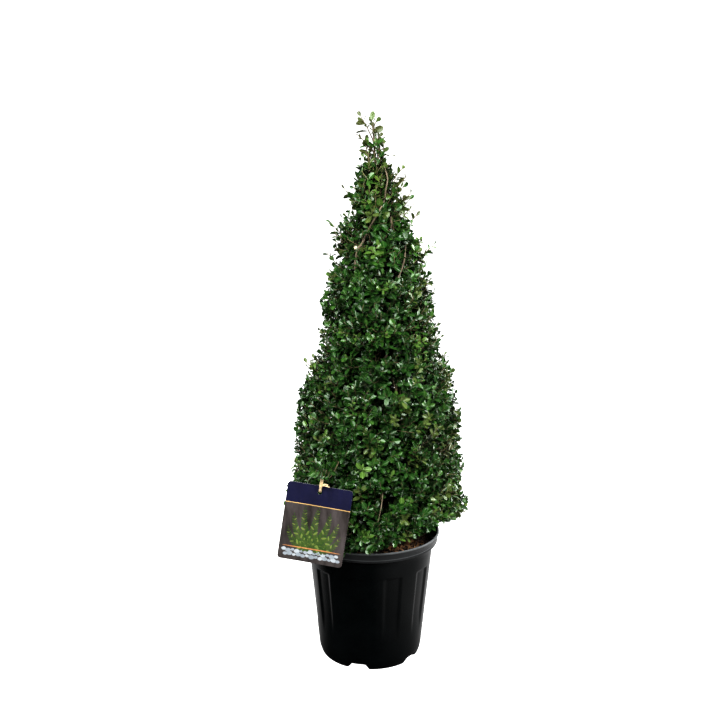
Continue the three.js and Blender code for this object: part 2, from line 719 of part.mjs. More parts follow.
const sites = [
  ...STRAY_SHOOTS.map(([degrees, z, past]) => crownSite(THREE.MathUtils.degToRad(degrees), z, past)),
  ...crownSites(SPRIGS),
];

// The same place drawn a little towards the middle of its mass.
function drawnIn({ angle, z, past }, mass, share) {
  const turn = Math.atan2(Math.sin(mass.angle - angle), Math.cos(mass.angle - angle));
  return crownSite(angle + share * turn, THREE.MathUtils.lerp(z, mass.z, share), past);
}

// The twig that the tag's tie goes round, from the core of the mass behind the tag.
function hangerTwig(mass) {
  const through = tieCentre.clone().addScaledVector(new THREE.Vector3(0, 1, 0), HANGER_LIFT);
  const toWorld = (p) => new THREE.Vector3(...p).add(through).applyMatrix4(tagPlace.matrixWorld);
  const places = HANGER_LINE.map(toWorld);
  if (!places.every((p) => inOwnSpace(p, mass))) return [];
  const line = new THREE.CatmullRomCurve3([mass.centre, ...places]);
  return [solidOf(limb(line, () => HANGER_RADIUS, 3, HANGER_RINGS))];
}

function massGeometry(mass, i) {
  const random = seededNumbers(101 + i);
  const heading = mass.bough.getTangentAt(1);
  const stemRoot = mass.tip.clone().addScaledVector(heading, SEAT_GAP);
  const stem = solidOf(twig(stemRoot, mass.centre, mass.boughRadius(1)));
  const core = massCore(mass);
  const there = hangerTwig(mass);
  for (const site of sites.filter(({ point }) => inOwnSpace(point, mass))) {
    for (let attempt = 0, grown = []; attempt < SPRIG_TRIES && !grown.length; attempt++) {
      grown = sprig(mass, drawnIn(site, mass, attempt * DRAWN_IN), core, there, random);
      there.push(...grown);
    }
  }
  return geometryOf(mainBody(wasm.Manifold.union([core, stem, ...there])));
}

// The open leader above the clipped cone: a stem, shoots and single leaves set by turns along them.
function leaderGeometry() {
  const root = trunkCurve.getPointAt(1).addScaledVector(trunkCurve.getTangentAt(1), SEAT_GAP);
  const top = new THREE.Vector3(...LEADER_STEM_TOP);
  const there = [solidOf(twig(root, top, TRUNK_TIP_RADIUS))];
  for (const { from, tip } of LEADER_TIPS) {
    const start = root.clone().lerp(top, Math.min(from, LEADER_HIGHEST_FORK));
    const reach = new THREE.Vector3(...tip);
    const way = reach.clone().sub(start).normalize();
    const end = reach.clone().addScaledVector(way, -LEADER_LEAF);
    const shoot = solidOf(twig(start, end, LEADER_SHOOT_RADIUS));
    const leafRoot = end.clone().addScaledVector(way, -LEADER_LEAF_ROOT);
    const leaves = [solidOf(leafGeometry(leafRoot, way, UP, LEADER_LEAF + LEADER_LEAF_ROOT))];
    const turns = Math.max(1, Math.floor(start.distanceTo(end) / LEADER_LEAF_SPACING));
    const sides = twigSides(start, end);
    for (let k = 1; k <= turns; k++) {
      const at = start.clone().lerp(end, k / (turns + LEADER_LAST_LEAF));
      const along = way.clone().add(sides[k % sides.length]).normalize();
      const leaf = leafGeometry(at, along, UP, LEADER_LEAF * LEADER_SIDE_LEAF_SHARE);
      const clear = cornersOf(leaf).every((p) => p.z > CROWN_TOP + 1) && !touchesLimb(cornersOf(leaf));
      if (clear && !hits(solidOf(leaf), [...there, ...leaves])) leaves.push(solidOf(leaf));
    }
    there.push(shoot, ...leaves);
  }
  return geometryOf(mainBody(wasm.Manifold.union(there)));
}

// The whole plant

const plant = new THREE.Group();

function add(name, geometry, material, parent = plant) {
  const mesh = new THREE.Mesh(geometry, material);
  mesh.name = name;
  parent.add(mesh);
}

add("pot", potGeometry(), materials.pot);
add("soil", soilGeometry(), materials.soil);
add("trunk", trunkLimb(0), materials.bark);
masses.forEach((mass, i) => {
  add(`bough_${mass.name}`, boughGeometry(mass), materials.bark);
  add(`foliage_${mass.name}`, massGeometry(mass, i), materials.leaf);
});
add("leader_spray", leaderGeometry(), materials.youngLeaf);

add("tag", tagGeometry(), materials.card, tagPlace);
add("tag_tie", tieGeometry(), materials.raffia, tagPlace);
plant.add(tagPlace);

export default plant;
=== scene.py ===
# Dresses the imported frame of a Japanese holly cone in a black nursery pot: plastic, soil, bark, leaves and
# a hang tag. Metres, +Z up, the front faces -Y. The plant grows by the part's own rule, carried on to finer
# twigs and leaves.
import math

import bmesh
import bpy
import numpy as np
from mathutils import Matrix, Vector, noise


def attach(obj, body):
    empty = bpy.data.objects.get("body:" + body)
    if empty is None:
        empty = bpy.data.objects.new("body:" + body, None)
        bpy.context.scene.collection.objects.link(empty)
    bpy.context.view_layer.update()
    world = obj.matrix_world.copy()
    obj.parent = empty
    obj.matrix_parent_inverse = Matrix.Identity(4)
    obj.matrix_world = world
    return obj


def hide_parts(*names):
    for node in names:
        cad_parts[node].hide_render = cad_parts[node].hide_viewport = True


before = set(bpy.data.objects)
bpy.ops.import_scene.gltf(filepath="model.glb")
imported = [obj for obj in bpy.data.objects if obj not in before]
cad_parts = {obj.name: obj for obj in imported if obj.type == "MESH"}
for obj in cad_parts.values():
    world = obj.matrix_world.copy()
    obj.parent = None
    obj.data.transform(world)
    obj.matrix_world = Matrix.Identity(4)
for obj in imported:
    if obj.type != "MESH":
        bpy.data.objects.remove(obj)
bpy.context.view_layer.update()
random = np.random.default_rng(20)

FULL_TURN = 2 * math.pi
GOLDEN_ANGLE = math.pi * (3 - math.sqrt(5))
UP = np.array([0.0, 0.0, 1.0])
SAME_POINT = 1e-6
LIMB_SEAM = 1e-5

# Pot
POT_HEIGHT = 0.265
RIM_RADIUS = 0.141
RIM_BAND = 0.022
BAND_HEIGHT = POT_HEIGHT - RIM_BAND
WALL = 0.0024
COLLAR_RADIUS = 0.128
WALL_LOW_RADIUS = 0.106
WALL_LOW_HEIGHT = 0.030
FOOT_RADIUS = 0.093
FOOT_RING = 0.009
FOOT_RING_MARGIN = 0.002
FLOOR_UNDERSIDE = 0.015
FLOOR_REACH = 0.0081
CENTRE_FOOT_RADIUS = 0.024
POT_COLUMNS = 240
FLUTES = 10
FLUTE_DEPTH = 0.003
FLUTE_TOP = 0.205
FLUTE_BOTTOM = 0.058
FLUTE_RAMP_TOP = 0.005
FLUTE_RAMP_BOTTOM = 0.060
FLUTE_HALF_WIDTH = math.radians(9.2)
FLUTE_EDGE = math.radians(2.4)
FIRST_FLUTE = math.radians(-15)
NOTCHES = FLUTES // 2
NOTCH_HALF_WIDTH = math.radians(14.2)
NOTCH_SLOPE = math.radians(6.5)
NOTCH_HEIGHT = 0.012
# Rows of the wall, close where the flutes end: from and to what height, and how many
WALL_ROWS = [
    (WALL_LOW_HEIGHT, FLUTE_BOTTOM, 4),
    (FLUTE_BOTTOM, FLUTE_TOP - 0.012, 22),
    (FLUTE_TOP - 0.012, FLUTE_TOP + 0.002, 9),
    (FLUTE_TOP + 0.012, BAND_HEIGHT - 0.004, 3),
]
# Curves of the wall's section, as steps outwards and up from the corner that each one rounds
CENTRE_FOOT_CURVE = [(0, 0), (0.002, 0.001), (0.008, FLOOR_UNDERSIDE)]
FOOT_RING_CURVE = [(-0.001, FLOOR_UNDERSIDE), (0, 0.0008), (0.0008, 0)]
FOOT_CURVE = [
    (0, 0), (0.003, 0.0009), (0.0056, 0.0034), (0.0078, 0.007),
    (0.0098, 0.012), (0.0114, 0.018), (0.0124, 0.024),
]
COLLAR_CURVE = [(0.0005, -0.0022), (0.0028, -0.0006)]
RIM_LOW_CURVE = [(-0.0062, 0), (-0.0046, 0.0008), (-0.0040, 0.0024), (-0.0044, 0.0046), (-0.0040, 0.0058)]
RIM_TOP_CURVE = [
    (-0.0022, -0.0056), (-0.0010, -0.0042), (0, -0.0024), (-0.0004, -0.0009),
    (-0.0020, 0), (-0.0042, -0.0006), (-0.0054, -0.0030),
]
RIM_INSIDE_CURVE = [(-0.0070, 0.003)]
# The plastic: its mottle, and the rim's band: scuffed matt, its grey partly wear and partly painted sheen,
# with painted highlights along its ledge and top edge: share of its height and grey
PLASTIC_MOTTLE = ((0.0006, 0.0010, 0.0011), (0.0016, 0.0025, 0.0027), 18, 0.10, 0.18)
PLASTIC_RELIEF = 0.00003
PLASTIC_SPECULAR = 0.3
RIM_BLUR = 0.002
RIM_ROUGHNESS = 0.22
RIM_WEAR_AND_HIGHLIGHTS = [
    (0, 0.018), (0.20, 0.018), (0.26, 0.09), (0.33, 0.026), (0.80, 0.028), (0.92, 0.12), (1, 0.22),
]
RIM_HUE = np.array([0.95, 1.0, 1.02])

# Potting soil, with crumbs and fallen leaves on it
SOIL_RADIUS = 0.122
SOIL_TOP = 0.244
SOIL_EDGE_DROP = 0.005
SOIL_SIDE = [(-0.004, -0.040)]
SOIL_RINGS = 30
SOIL_COLUMNS = 120
SOIL_SHARP = math.radians(80)
# Its lumps, which calm down towards the stem: scale, seed, height, and how rough the noise is
SOIL_LUMPS = [(38, 1.7, 0.0026, (0.6, 2.0, 3)), (170, 4.2, 0.0012, (0.7, 2.0, 2))]
SOIL_CALM = (0.016, 0.050)
CRUMBS = 2400
CRUMB_SIZES = (0.0012, 0.0036)
CRUMB_STRETCH = (0.35, 1.3)
CRUMB_STEM_ROOM = 0.022
CRUMB_EDGE_ROOM = 0.004
DRY_LEAVES = 100
DRY_LEAF_SPREAD = 0.4
DRY_LEAF_RADII = (0.075, SOIL_RADIUS - 0.012)
DRY_LEAF_LIFT = 0.003
DRY_LEAF_TILT = 0.5
DRY_LEAF_SIZES = (0.8, 1.15)
DRY_LEAF_WIDTH_SHARE = 0.42

# Trunk: its line, and its radius at the ground, over the flare and at the tip
TRUNK_LINE = [
    (0, 0, 0.2443), (0, 0, 0.280), (0.008, -0.004, 0.440), (0.011, -0.006, 0.620),
    (0.006, -0.009, 0.760), (0.005, -0.008, 0.840), (0.010, -0.004, 0.930), (0.008, 0, 1.000),
]
TRUNK_FLARE = 0.017
TRUNK_RADIUS = 0.011
TRUNK_TIP_RADIUS = 0.0024
TRUNK_TAPER_POWER = 0.9
FLARE_HEIGHT = 0.040
FLARE_FALL = 3
TRUNK_RINGS = 150
TRUNK_SIDES = 28
TRUNK_RELIEF = 0.13
LINE_SAMPLES = 160
# Bark's furrows round a limb, its grain along it, and how rough its noise is
BARK_FURROWS = 2.2
BARK_GRAIN = 60
BARK_NOISE = (0.6, 2.0, 4)
LIMB_GUIDE = (0.31, 0.83, 0.21)

# Crown: how far the leaf tips reach from its own axis (radius, height), and how that axis leans (sideways,
# height)
CROWN_PROFILE = [
    (0.104, 0.268), (0.150, 0.272), (0.176, 0.288), (0.183, 0.318), (0.168, 0.430),
    (0.160, 0.540), (0.139, 0.612), (0.124, 0.652), (0.107, 0.770), (0.089, 0.815),
    (0.086, 0.858), (0.060, 0.925), (0.052, 0.968), (0.040, 1.001),
]
CROWN_AXIS = [(0.006, 0.268), (0.013, 0.420), (0.0185, 0.680), (0.012, 0.900), (0.006, 1.001)]
CROWN_BOTTOM = 0.268
CROWN_FLOOR_SLACK = 0.002
SKIRT_HEIGHT = 0.110
# The skirt is lifted at the front right, where the soil shows: how far, where, how broadly, and over what
# height
SKIRT_LIFT = 0.042
LIFT_ANGLE = math.radians(52)
LIFT_NARROWNESS = 1.3
LIFT_FADE = 0.09
# Scales of the gaps and tufts around and along the crown, and how much of each there is
GAP_SCALE = (6.5, 44)
GAP_LEVEL = -0.15
TUFT_SCALE = (2.4, 26)
TUFT_NOISE = (0.7, 2.0, 3)
TUFT_SHARE = 0.045

# Boughs, one to each mass of foliage
MASSES = 12
LOWEST_CENTRE = 0.312
BOUGH_SHORTER = 0.028
BOUGH_REACH_SHARE = 0.45
BOUGH_RISE = 0.026
BOUGH_RISE_SHARE = 0.7
BOUGH_TIP_DROP = 0.2
BOUGH_BEND_SHARE = 0.5
LOWEST_BOUGH = 0.264
BOUGH_STEP = 0.007
BOUGH_THINNEST = 0.0012
BOUGH_RADIUS_SHARE = 0.42
BOUGH_TAPER = 0.42
BOUGH_RINGS = 26
BOUGH_SIDES = 14
BOUGH_RELIEF = 0.15
CORE_INSET = 0.048
CORE_INSET_SHARE = 0.38

# Branches from the boughs
BRANCHES = 150
BRANCH_LOWEST = 0.02
BRANCH_DEPTH = 0.055
BRANCH_DEPTH_SHARE = 0.45
BRANCH_DEPTH_SPREAD = (0.85, 1.15)
BRANCH_SEAT = 0.004
BRANCH_BEND_SHARE = 0.35
BRANCH_WANDER = 0.004
BRANCH_RADIUS = 0.0027
BRANCH_TAPER = 0.5
BRANCH_RINGS = 7
BRANCH_SIDES = 6

# Leafy shoots from the branches, and shaded ones further in; fewer high up, where the sky shows through
SHOOTS = 5000
INNER_SHOOTS = 1300
INNER_DEPTH = 0.030
INNER_DEPTH_SPREAD = (0.8, 1.6)
INNER_SCALE = 1.2
INNER_OPEN_SHARE = 0.75
AIRY_HEIGHT = 0.82
AIRY_FADE = 0.12
OPEN_SHARE = 0.48
OPEN_MORE_RIGHT = 0.12
LARGER_HIGH = 0.18
SHOOT_LENGTH = 0.070
SHOOT_BEND_SHARE = 0.55
SHOOT_INSET = 0.034
SHOOT_INSET_POWER = 1.4
SHOOT_DEEPEST = 0.5
SHOOT_WANDER = 0.004
SHOOT_CLIMB = 0.9
SHOOT_SWING = 0.8
SHOOT_SEAT = (0.45, 1.0)
SHOOT_GUIDE = (0.37, 0.21, 0.11)
TWIG_RADIUS = 0.0011
TWIG_TAPER = 0.5
TWIG_RINGS = 5
TWIG_SIDES = 4

# Leaves: how they sit on a shoot, from its tip back, and where they face
LEAVES_ON_SHOOT = 13
FIRST_LEAF = 0.002
LEAF_SPACING = 0.0050
LEAF_SPACING_SPREAD = 0.3
BARE_SHARE = 0.2
LEAF_LEAN = 0.48
LEAF_LEAN_MORE = 0.55
LEAF_LEAN_AFTER = 4
LEAF_LEAN_SPREAD = (-0.25, 0.3)
FACE_ALONG = 0.8
FACE_LIGHT = 0.7
FACE_SPREAD = 0.42
LIGHT_OUTWARD = 0.5
LIGHT_UP = 0.6
LEAF_SLACK = 0.005
# Their size, smaller near the tip, and their rows from root to tip: share of the length, and of half the
# width
LEAF_LENGTH = 0.0154
LEAF_SIZES = (0.58, 1.30)
LEAF_AT_TIP = 0.6
LEAF_GROWN_AFTER = 2.5
LEAF_WIDTH_SHARE = 0.55
LEAF_WIDTH_SPREAD = (0.88, 1.12)
LEAF_ROWS = [(0.17, 0.42), (0.50, 0.98), (0.82, 0.82)]
LEAF_FOLD = 0.26
LEAF_CURL = 0.10
LEAF_POINTS = 3 * len(LEAF_ROWS) + 2
LEAF_TRIANGLES = 4 * len(LEAF_ROWS)
MOST_TRIANGLES = 190000

# Leaf tints: name, green and a paler green
TINTS = [
    ("shaded", (0.0022, 0.0070, 0.0014), (0.0042, 0.0120, 0.0026)),
    ("deep", (0.0052, 0.0290, 0.0032), (0.0086, 0.0400, 0.0050)),
    ("mid", (0.0108, 0.0500, 0.0058), (0.0170, 0.0660, 0.0086)),
    ("fresh", (0.026, 0.084, 0.011), (0.038, 0.106, 0.016)),
    ("light", (0.062, 0.130, 0.022), (0.085, 0.160, 0.030)),
    ("young", (0.105, 0.170, 0.030), (0.135, 0.205, 0.040)),
    ("olive", (0.056, 0.084, 0.019), (0.084, 0.120, 0.030)),
    ("dull", (0.042, 0.050, 0.014), (0.064, 0.074, 0.022)),
]
SHADED, DEEP, MID, FRESH, LIGHT, YOUNG, OLIVE, DULL = range(len(TINTS))
YOUNG_TINTS = (LIGHT, YOUNG, OLIVE)
RIB_TINT = (0.34, 0.45, 0.18)
RIB_SHARE = 0.25
UNDERSIDE_TINT = (0.10, 0.17, 0.06)
UNDERSIDE_SHARE = 0.2
# A blade's patches, midrib (half its width to where it fades, and its strength), gloss and relief
PATCH_SCALE = 55.0
RIB_EDGES = (0.02, 0.09)
RIB_STRENGTH = 0.55
LEAF_ROUGHNESS = (0.20, 0.34)
LEAF_BUMP = 0.35
LEAF_RELIEF = 0.0006
LEAF_SPECULAR = 0.50
LEAF_SPECULAR_TINT = (0.87, 1.0, 0.85)
# How the tints are dealt out: the lots above which a spray is lighter, and how far those drop towards the
# top
TINT_LIMITS = np.array([0.08, 0.46, 0.84, 1.03])
TINT_LIMIT_DROPS = np.array([0.0, 0.20, 0.25, 0.15])
TINT_HEIGHT = 0.78
TINT_FADE = 0.25
# Painted shade by depth: how far a spray's lot drops the deeper it lies, and the share of the inset where it
# drops nothing
TINT_BY_DEPTH = 0.3
TINT_MIDDLE_DEPTH = 0.4
# Olive sprays: a share everywhere, the leaves' own olive, and more high up and on the right; the extra on
# the right is painted light shining through from behind
OLIVE_SHARE = 0.03
OLIVE_MORE_RIGHT = 0.20
OLIVE_MORE_HIGH = 0.25
FRESHER_LEAVES = 3
FRESHER_SHARE = 0.14

# Upright shoots that thin out from the clipped top into the leader, and how far out they stand (height,
# radius)
CREST_SHOOTS = 36
CREST_REACH = [(0.955, 0.050), (1.000, 0.037), (1.052, 0.018)]
CREST_CROWDING = 1.15
CREST_INNER = 0.15
CREST_LENGTHS = (0.05, 0.09)
CREST_SEAT = 0.004
CREST_BOW = 0.35
CREST_TINTS = {MID: 0.12, FRESH: 0.18, OLIVE: 0.40, DULL: 0.30}
CREST_LEAVES = {"spacing": 0.0075, "many": 7, "scale": 1.15}

# Shoots that grew on past the clipped surface, as (degrees from the front, height, how far past)
STRAY_SHOOTS = [
    (88, 0.850, 0.024), (84, 0.905, 0.010), (80, 0.926, 0.014), (92, 0.946, 0.012), (72, 0.966, 0.010),
    (100, 0.936, 0.012), (82, 0.978, 0.012), (96, 0.992, 0.010), (86, 0.838, 0.010), (-95, 0.888, 0.016),
    (-90, 0.830, 0.012), (-92, 0.956, 0.008), (-84, 0.618, 0.010), (60, 0.470, 0.010), (170, 0.760, 0.016),
    (225, 0.520, 0.012),
]
STRAY_LENGTH = 0.05
STRAY_CLIMB = 1.1
STRAY_SEAT_SHARE = 0.55
STRAY_TINTS = [FRESH, DULL, OLIVE, DULL, FRESH]
STRAY_LEAVES = {"spacing": 0.0058, "many": 9, "scale": 1.2}

# The lowest sprig, which hangs over the pot's rim
RIM_SPRIG = [(-0.012, -0.095, 0.315), (-0.004, -0.128, 0.296), (-0.002, -0.142, 0.268)]
RIM_SPRIG_LEAVES = {"spacing": 0.0075, "many": 6}

# The unclipped leader: its stem's top, then where each shoot leaves the stem and where its tip is
LEADER_TOP = (0.004, -0.002, 1.066)
LEADER_TIPS = [
    (0.62, (-0.026, -0.004, 1.101)), (1.0, (0.015, 0.002, 1.092)), (0.3, (-0.037, 0.003, 1.066)),
    (0.12, (0.047, -0.003, 1.022)), (0.3, (0.010, -0.034, 1.048)), (0.42, (0.014, 0.034, 1.056)),
    (0.85, (-0.002, 0.020, 1.094)), (0.75, (0.001, -0.016, 1.090)), (0.45, (0.021, -0.010, 1.064)),
    (0.3, (-0.016, -0.014, 1.050)), (0.05, (0.026, 0.010, 1.040)),
]
LEADER_RINGS = 6
LEADER_TAPER = 0.3
LEADER_LAST_SEAT = 0.97
LEADER_LEAF_ROOM = 0.012
LEADER_LIFT = 0.1
LEADER_TINTS = [DULL, OLIVE, DULL, DULL, FRESH]
LEADER_LEAVES = {"spacing": 0.0042, "many": 11, "scale": 1.35}

# A second stem that shows through the open top, with a pruned stub, a side stem, and a dead twig lower down
FRONT_STEM = [
    (0.0060, -0.018, 0.740), (-0.0240, -0.042, 0.788), (-0.0297, -0.056, 0.815), (-0.0261, -0.052, 0.841),
    (-0.0166, -0.050, 0.855), (-0.0042, -0.041, 0.880), (0.0119, -0.047, 0.910), (0.0243, -0.028, 0.932),
    (0.0280, -0.032, 0.957), (0.0309, -0.028, 0.975), (0.0250, -0.020, 0.996),
]
STUB = [(-0.0257, -0.051, 0.839), (-0.0300, -0.062, 0.848)]
CUT_END = 0.0042
SIDE_STEM = [
    (0.030, -0.030, 0.730), (0.0379, -0.054, 0.750), (0.047, -0.061, 0.778), (0.062, -0.052, 0.818),
    (0.066, -0.040, 0.850),
]
DEAD_TWIG = [(0.022, -0.150, 0.392), (0.0185, -0.181, 0.374), (0.0125, -0.184, 0.346)]
# Line, radius and taper of each
OPEN_STEMS = [
    (FRONT_STEM, 0.0027, 0.55), (STUB, 0.0036, 0.15), (SIDE_STEM, 0.0022, 0.4), (DEAD_TWIG, 0.0010, 0.4),
]
OPEN_STEM_RINGS = 12
OPEN_STEM_SIDES = 12
OPEN_STEM_RELIEF = 0.14
# Where the leaves leave those stems in sight: the place and width of each window
STEM_WINDOWS = [
    (0.0295, -0.030, 0.965, 0.006), (0.0274, -0.033, 0.948, 0.006), (0.0085, -0.047, 0.904, 0.010),
    (0.0020, -0.045, 0.891, 0.007), (-0.0120, -0.048, 0.864, 0.008), (-0.0185, -0.050, 0.852, 0.010),
    (-0.0290, -0.060, 0.846, 0.008), (-0.0287, -0.055, 0.826, 0.006), (0.0580, -0.055, 0.807, 0.006),
    (0.0505, -0.060, 0.787, 0.005),
]
WINDOW_BACK = -0.002
CLEARING_SHARE = 0.76

# Hang tag and its raffia tie, in the tag's own frame: x to the right, y up, z towards the viewer
TAG_WIDTH = 0.124
TAG_HEIGHT = 0.150
TAG_THICKNESS = 0.0009
TAG_CORNER = 0.006
TAG_CORNER_STEPS = 6
TAG_HOLE_RADIUS = 0.004
TAG_HOLE_HEIGHT = TAG_HEIGHT / 2 - 0.013
TAG_HOLE_SIDES = 24
TAG_CENTRE = (-0.106, -0.172, 0.337)
TAG_ROLL = math.radians(-8.5)
TAG_YAW = math.radians(-4)
TAG_LEAN = math.radians(6)
TAG_BOW = 0.0016
TAG_BOW_BACK = 0.6
TAG_STRIPS = (9, 11)
TAG_PLACE = (
    Matrix.Translation(TAG_CENTRE)
    @ Matrix.Rotation(TAG_YAW, 4, "Z")
    @ Matrix.Rotation(math.pi / 2 - TAG_LEAN, 4, "X")
    @ Matrix.Rotation(TAG_ROLL, 4, "Z")
)
# Room that the leaves leave it at its sides, at its ends and behind it, and round the knot of its tie
TAG_ROOM = (0.004, 0.002, 0.004)
KNOT_ROOM_BELOW = 0.006
KNOT_ROOM_BEHIND = 0.006

# The print: a header over a gold line, and a fern over a bed of pebbles. Inks: name, dark and light
HEADER_BOTTOM = 0.0365
GOLD_LINE = 0.0016
INK = 0.00006
INKS = [
    ("card_back", (0.55, 0.53, 0.50), (0.66, 0.64, 0.60)),
    ("ink_navy", (0.0045, 0.0050, 0.026), (0.0075, 0.0080, 0.040)),
    ("ink_gold", (0.42, 0.27, 0.10), (0.56, 0.38, 0.16)),
    ("ink_slate", (0.018, 0.014, 0.012), (0.085, 0.072, 0.070)),
    ("ink_stalk", (0.05, 0.055, 0.02), (0.09, 0.10, 0.03)),
    ("ink_deep_leaf", (0.02, 0.05, 0.012), (0.05, 0.10, 0.02)),
    ("ink_leaf", (0.035, 0.065, 0.013), (0.07, 0.115, 0.024)),
    ("ink_pale_leaf", (0.10, 0.145, 0.030), (0.18, 0.235, 0.058)),
    ("ink_pebble", (0.28, 0.31, 0.33), (0.44, 0.47, 0.49)),
    ("ink_dark_pebble", (0.18, 0.21, 0.23), (0.34, 0.37, 0.40)),
    ("ink_copper", (0.34, 0.14, 0.05), (0.52, 0.26, 0.11)),
]
CARD_BACK, NAVY, GOLD, SLATE, STALK, DEEP_LEAF, LEAF, PALE_LEAF, PEBBLE, DARK_PEBBLE, COPPER = range(11)
CARD_COATING = (60, 0.34, 0.46, 0.00004, (1, 1, 0.25))
SPOT_SIDES = 16
# Each frond's root, tip, bow, pairs of leaves and leaf size
FRONDS = [
    ((-0.003, -0.046), (-0.049, -0.014), 0.012, 13, 0.0060),
    ((-0.003, -0.046), (-0.041, 0.012), 0.009, 15, 0.0064),
    ((-0.002, -0.046), (-0.022, 0.026), 0.006, 15, 0.0064),
    ((0.000, -0.046), (0.003, 0.029), 0.002, 15, 0.0064),
    ((0.002, -0.046), (0.026, 0.021), -0.006, 15, 0.0064),
    ((0.003, -0.046), (0.043, 0.004), -0.009, 14, 0.0062),
    ((0.003, -0.046), (0.050, -0.020), -0.012, 12, 0.0058),
]
FROND_INKS = (LEAF, DEEP_LEAF, PALE_LEAF, LEAF)
FROND_LEAF_TURN = 0.85
FROND_LEAF_WIDTH = 0.36
FROND_LEAF_LARGEST = 1.1
FROND_LEAF_TAPER = 0.75
STALK_HALF_WIDTH = 0.0005
STALK_OVERLAP = 0.56
PEBBLE_ROWS = 2
PEBBLES_IN_ROW = 13
FIRST_PEBBLE = (-0.052, -0.056)
PEBBLE_STEP = (0.0084, -0.0075)
PEBBLE_ROW_SHIFT = 0.004
PEBBLE_WOBBLE = 0.001
PEBBLE_SIZE = 0.0042
PEBBLE_INKS = (PEBBLE, DARK_PEBBLE, SLATE)
COPPER_LINE = ((0, -0.0485), (0.056, 0.0012))

# Raffia tie: a loop of strands with a knot and two loose ends (sideways, upwards)
TIE_LENGTH = 0.032
TIE_WIDTH = 0.018
TIE_CENTRE = (0, TAG_HOLE_HEIGHT + TIE_LENGTH / 2 + 0.00115, -0.002)
TIE_STRANDS = 3
TIE_STRAND_GAP = 0.0016
TIE_STRAND_STEP = 0.0004
TIE_STRAND_RADIUS = 0.0011
TIE_START = -0.6
TIE_POINTS = 40
KNOT = Vector((0, TAG_HEIGHT / 2 + 0.0015, TIE_CENTRE[2] + TIE_WIDTH / 2 - 0.0006))
COIL_RADIUS = 0.0021
COIL_TURNS = 2.2
COIL_RISE = 0.0003
COIL_DROP = 0.0015
COIL_POINTS = 36
COIL_STRAND_RADIUS = 0.0009
LOOSE_ENDS = [(0.0135, 0.0035), (0.0165, 0.0005)]
LOOSE_END_RADIUS = 0.0012
RAFFIA_LUMPS = 0.12
RAFFIA_LUMP_TURNS = 9
RAFFIA_SIDES = 8
RAFFIA_RELIEF = 0.2

# The twig that the tie goes round, and the leafy shoots in front of it: their places along it, bends and
# tips
HANGER_LIFT = 0.0128
HANGER_LINE = [(0.018, 0.008, -0.008), (0.006, 0.001, -0.002), (-0.009, -0.001, 0.002)]
HANGER_RADIUS = 0.0014
HANGER_TAPER = 0.25
HANGER_RINGS = 14
HANGER_SHOOTS = [-0.014, -0.006, 0.0, 0.005, 0.011]
HANGER_BEND = (0.030, -0.014)
HANGER_TIP = (0.004, 0.015)
HANGER_TINTS = [MID, FRESH, DEEP, MID, MID]
HANGER_LEAVES = {"spacing": 0.0045}

# Plain finishes: dark, light, scale, smoothest, roughest, relief and stretch
ALONG_GRAIN = (1, 1, 0.35)
FINISHES = {
    "potting_soil": ((0.004, 0.003, 0.002), (0.034, 0.019, 0.011), 130, 0.85, 1.0, 0.0022),
    "bark_chips": ((0.016, 0.009, 0.005), (0.115, 0.060, 0.030), 90, 0.75, 0.95, 0.0008),
    "grey_bark": ((0.080, 0.061, 0.038), (0.25, 0.20, 0.13), 120, 0.6, 0.85, 0.0009, ALONG_GRAIN),
    "cut_wood": ((0.52, 0.42, 0.28), (0.80, 0.72, 0.56), 300, 0.6, 0.85, 0.0003),
    "twig_bark": ((0.055, 0.042, 0.020), (0.20, 0.155, 0.080), 150, 0.5, 0.8, 0.0004),
    "dry_leaf": ((0.15, 0.07, 0.030), (0.46, 0.27, 0.13), 110, 0.6, 0.9, 0.0005),
    "raffia": ((0.42, 0.30, 0.16), (0.80, 0.66, 0.42), 240, 0.55, 0.8, 0.0006, (1, 1, 0.3)),
}
FINISH_BUMP = 0.6

# Studio: camera, tone, and the floor's and walls' light
CAMERA_PLACE = (-0.0212, -2.20, 1.085)
CAMERA_TILT = math.radians(78)
CAMERA_LENS = 56.7
CAMERA_SENSOR = 36
EXPOSURE = 0.62
GAMMA = 0.78
FLOOR_RADIUS = 14
FLOOR_SIDES = 96
FLOOR_PAINT = (0.32, 0.32, 0.32)
FLOOR_ROUGHNESS = (0.75, 0.85)
FLOOR_SPECULAR = 0.1
FLOOR_GLOW = 1.0
# Painted reflection: the floor's glow as glossy rays see it, in front, at the right and behind, and the
# spans over which it grows
MIRRORED_FRONT = 0.008
MIRRORED_RIGHT = 0.34
MIRRORED_BACK = 0.5
MIRROR_RIGHT_SPAN = (0.02, 0.3)
MIRROR_BACK_SPAN = (-0.05, 0.2)
WALL_LIGHT_FRONT = 0.03
WALL_LIGHT_BACK = 0.08
WALL_LIGHT_SPAN = (-0.7, 0.3)
# Lamps: name, place, what each is aimed at, size and power
SOFTBOXES = [
    ("softbox_key", (-1.0, -1.9, 2.5), (0, 0, 0.6), (2.0, 1.7), 122),
    ("softbox_fill", (1.5, -1.5, 1.7), (0, 0, 0.6), (1.0, 1.0), 46),
    ("side_left", (-1.7, 0.3, 0.9), (0, 0, 0.5), (0.45, 1.2), 14),
    ("side_right", (1.7, 0.3, 0.9), (0, 0, 0.5), (0.45, 1.2), 28),
    ("softbox_back", (0.3, 2.2, 1.6), (0, 0, 0.6), (2.6, 2.2), 56),
]

FOLIAGE_NODES = [f"foliage_{i:02d}" for i in range(1, MASSES + 1)] + ["leader_spray"]
BOUGH_NODES = [f"bough_{i:02d}" for i in range(1, MASSES + 1)]


# Node trees

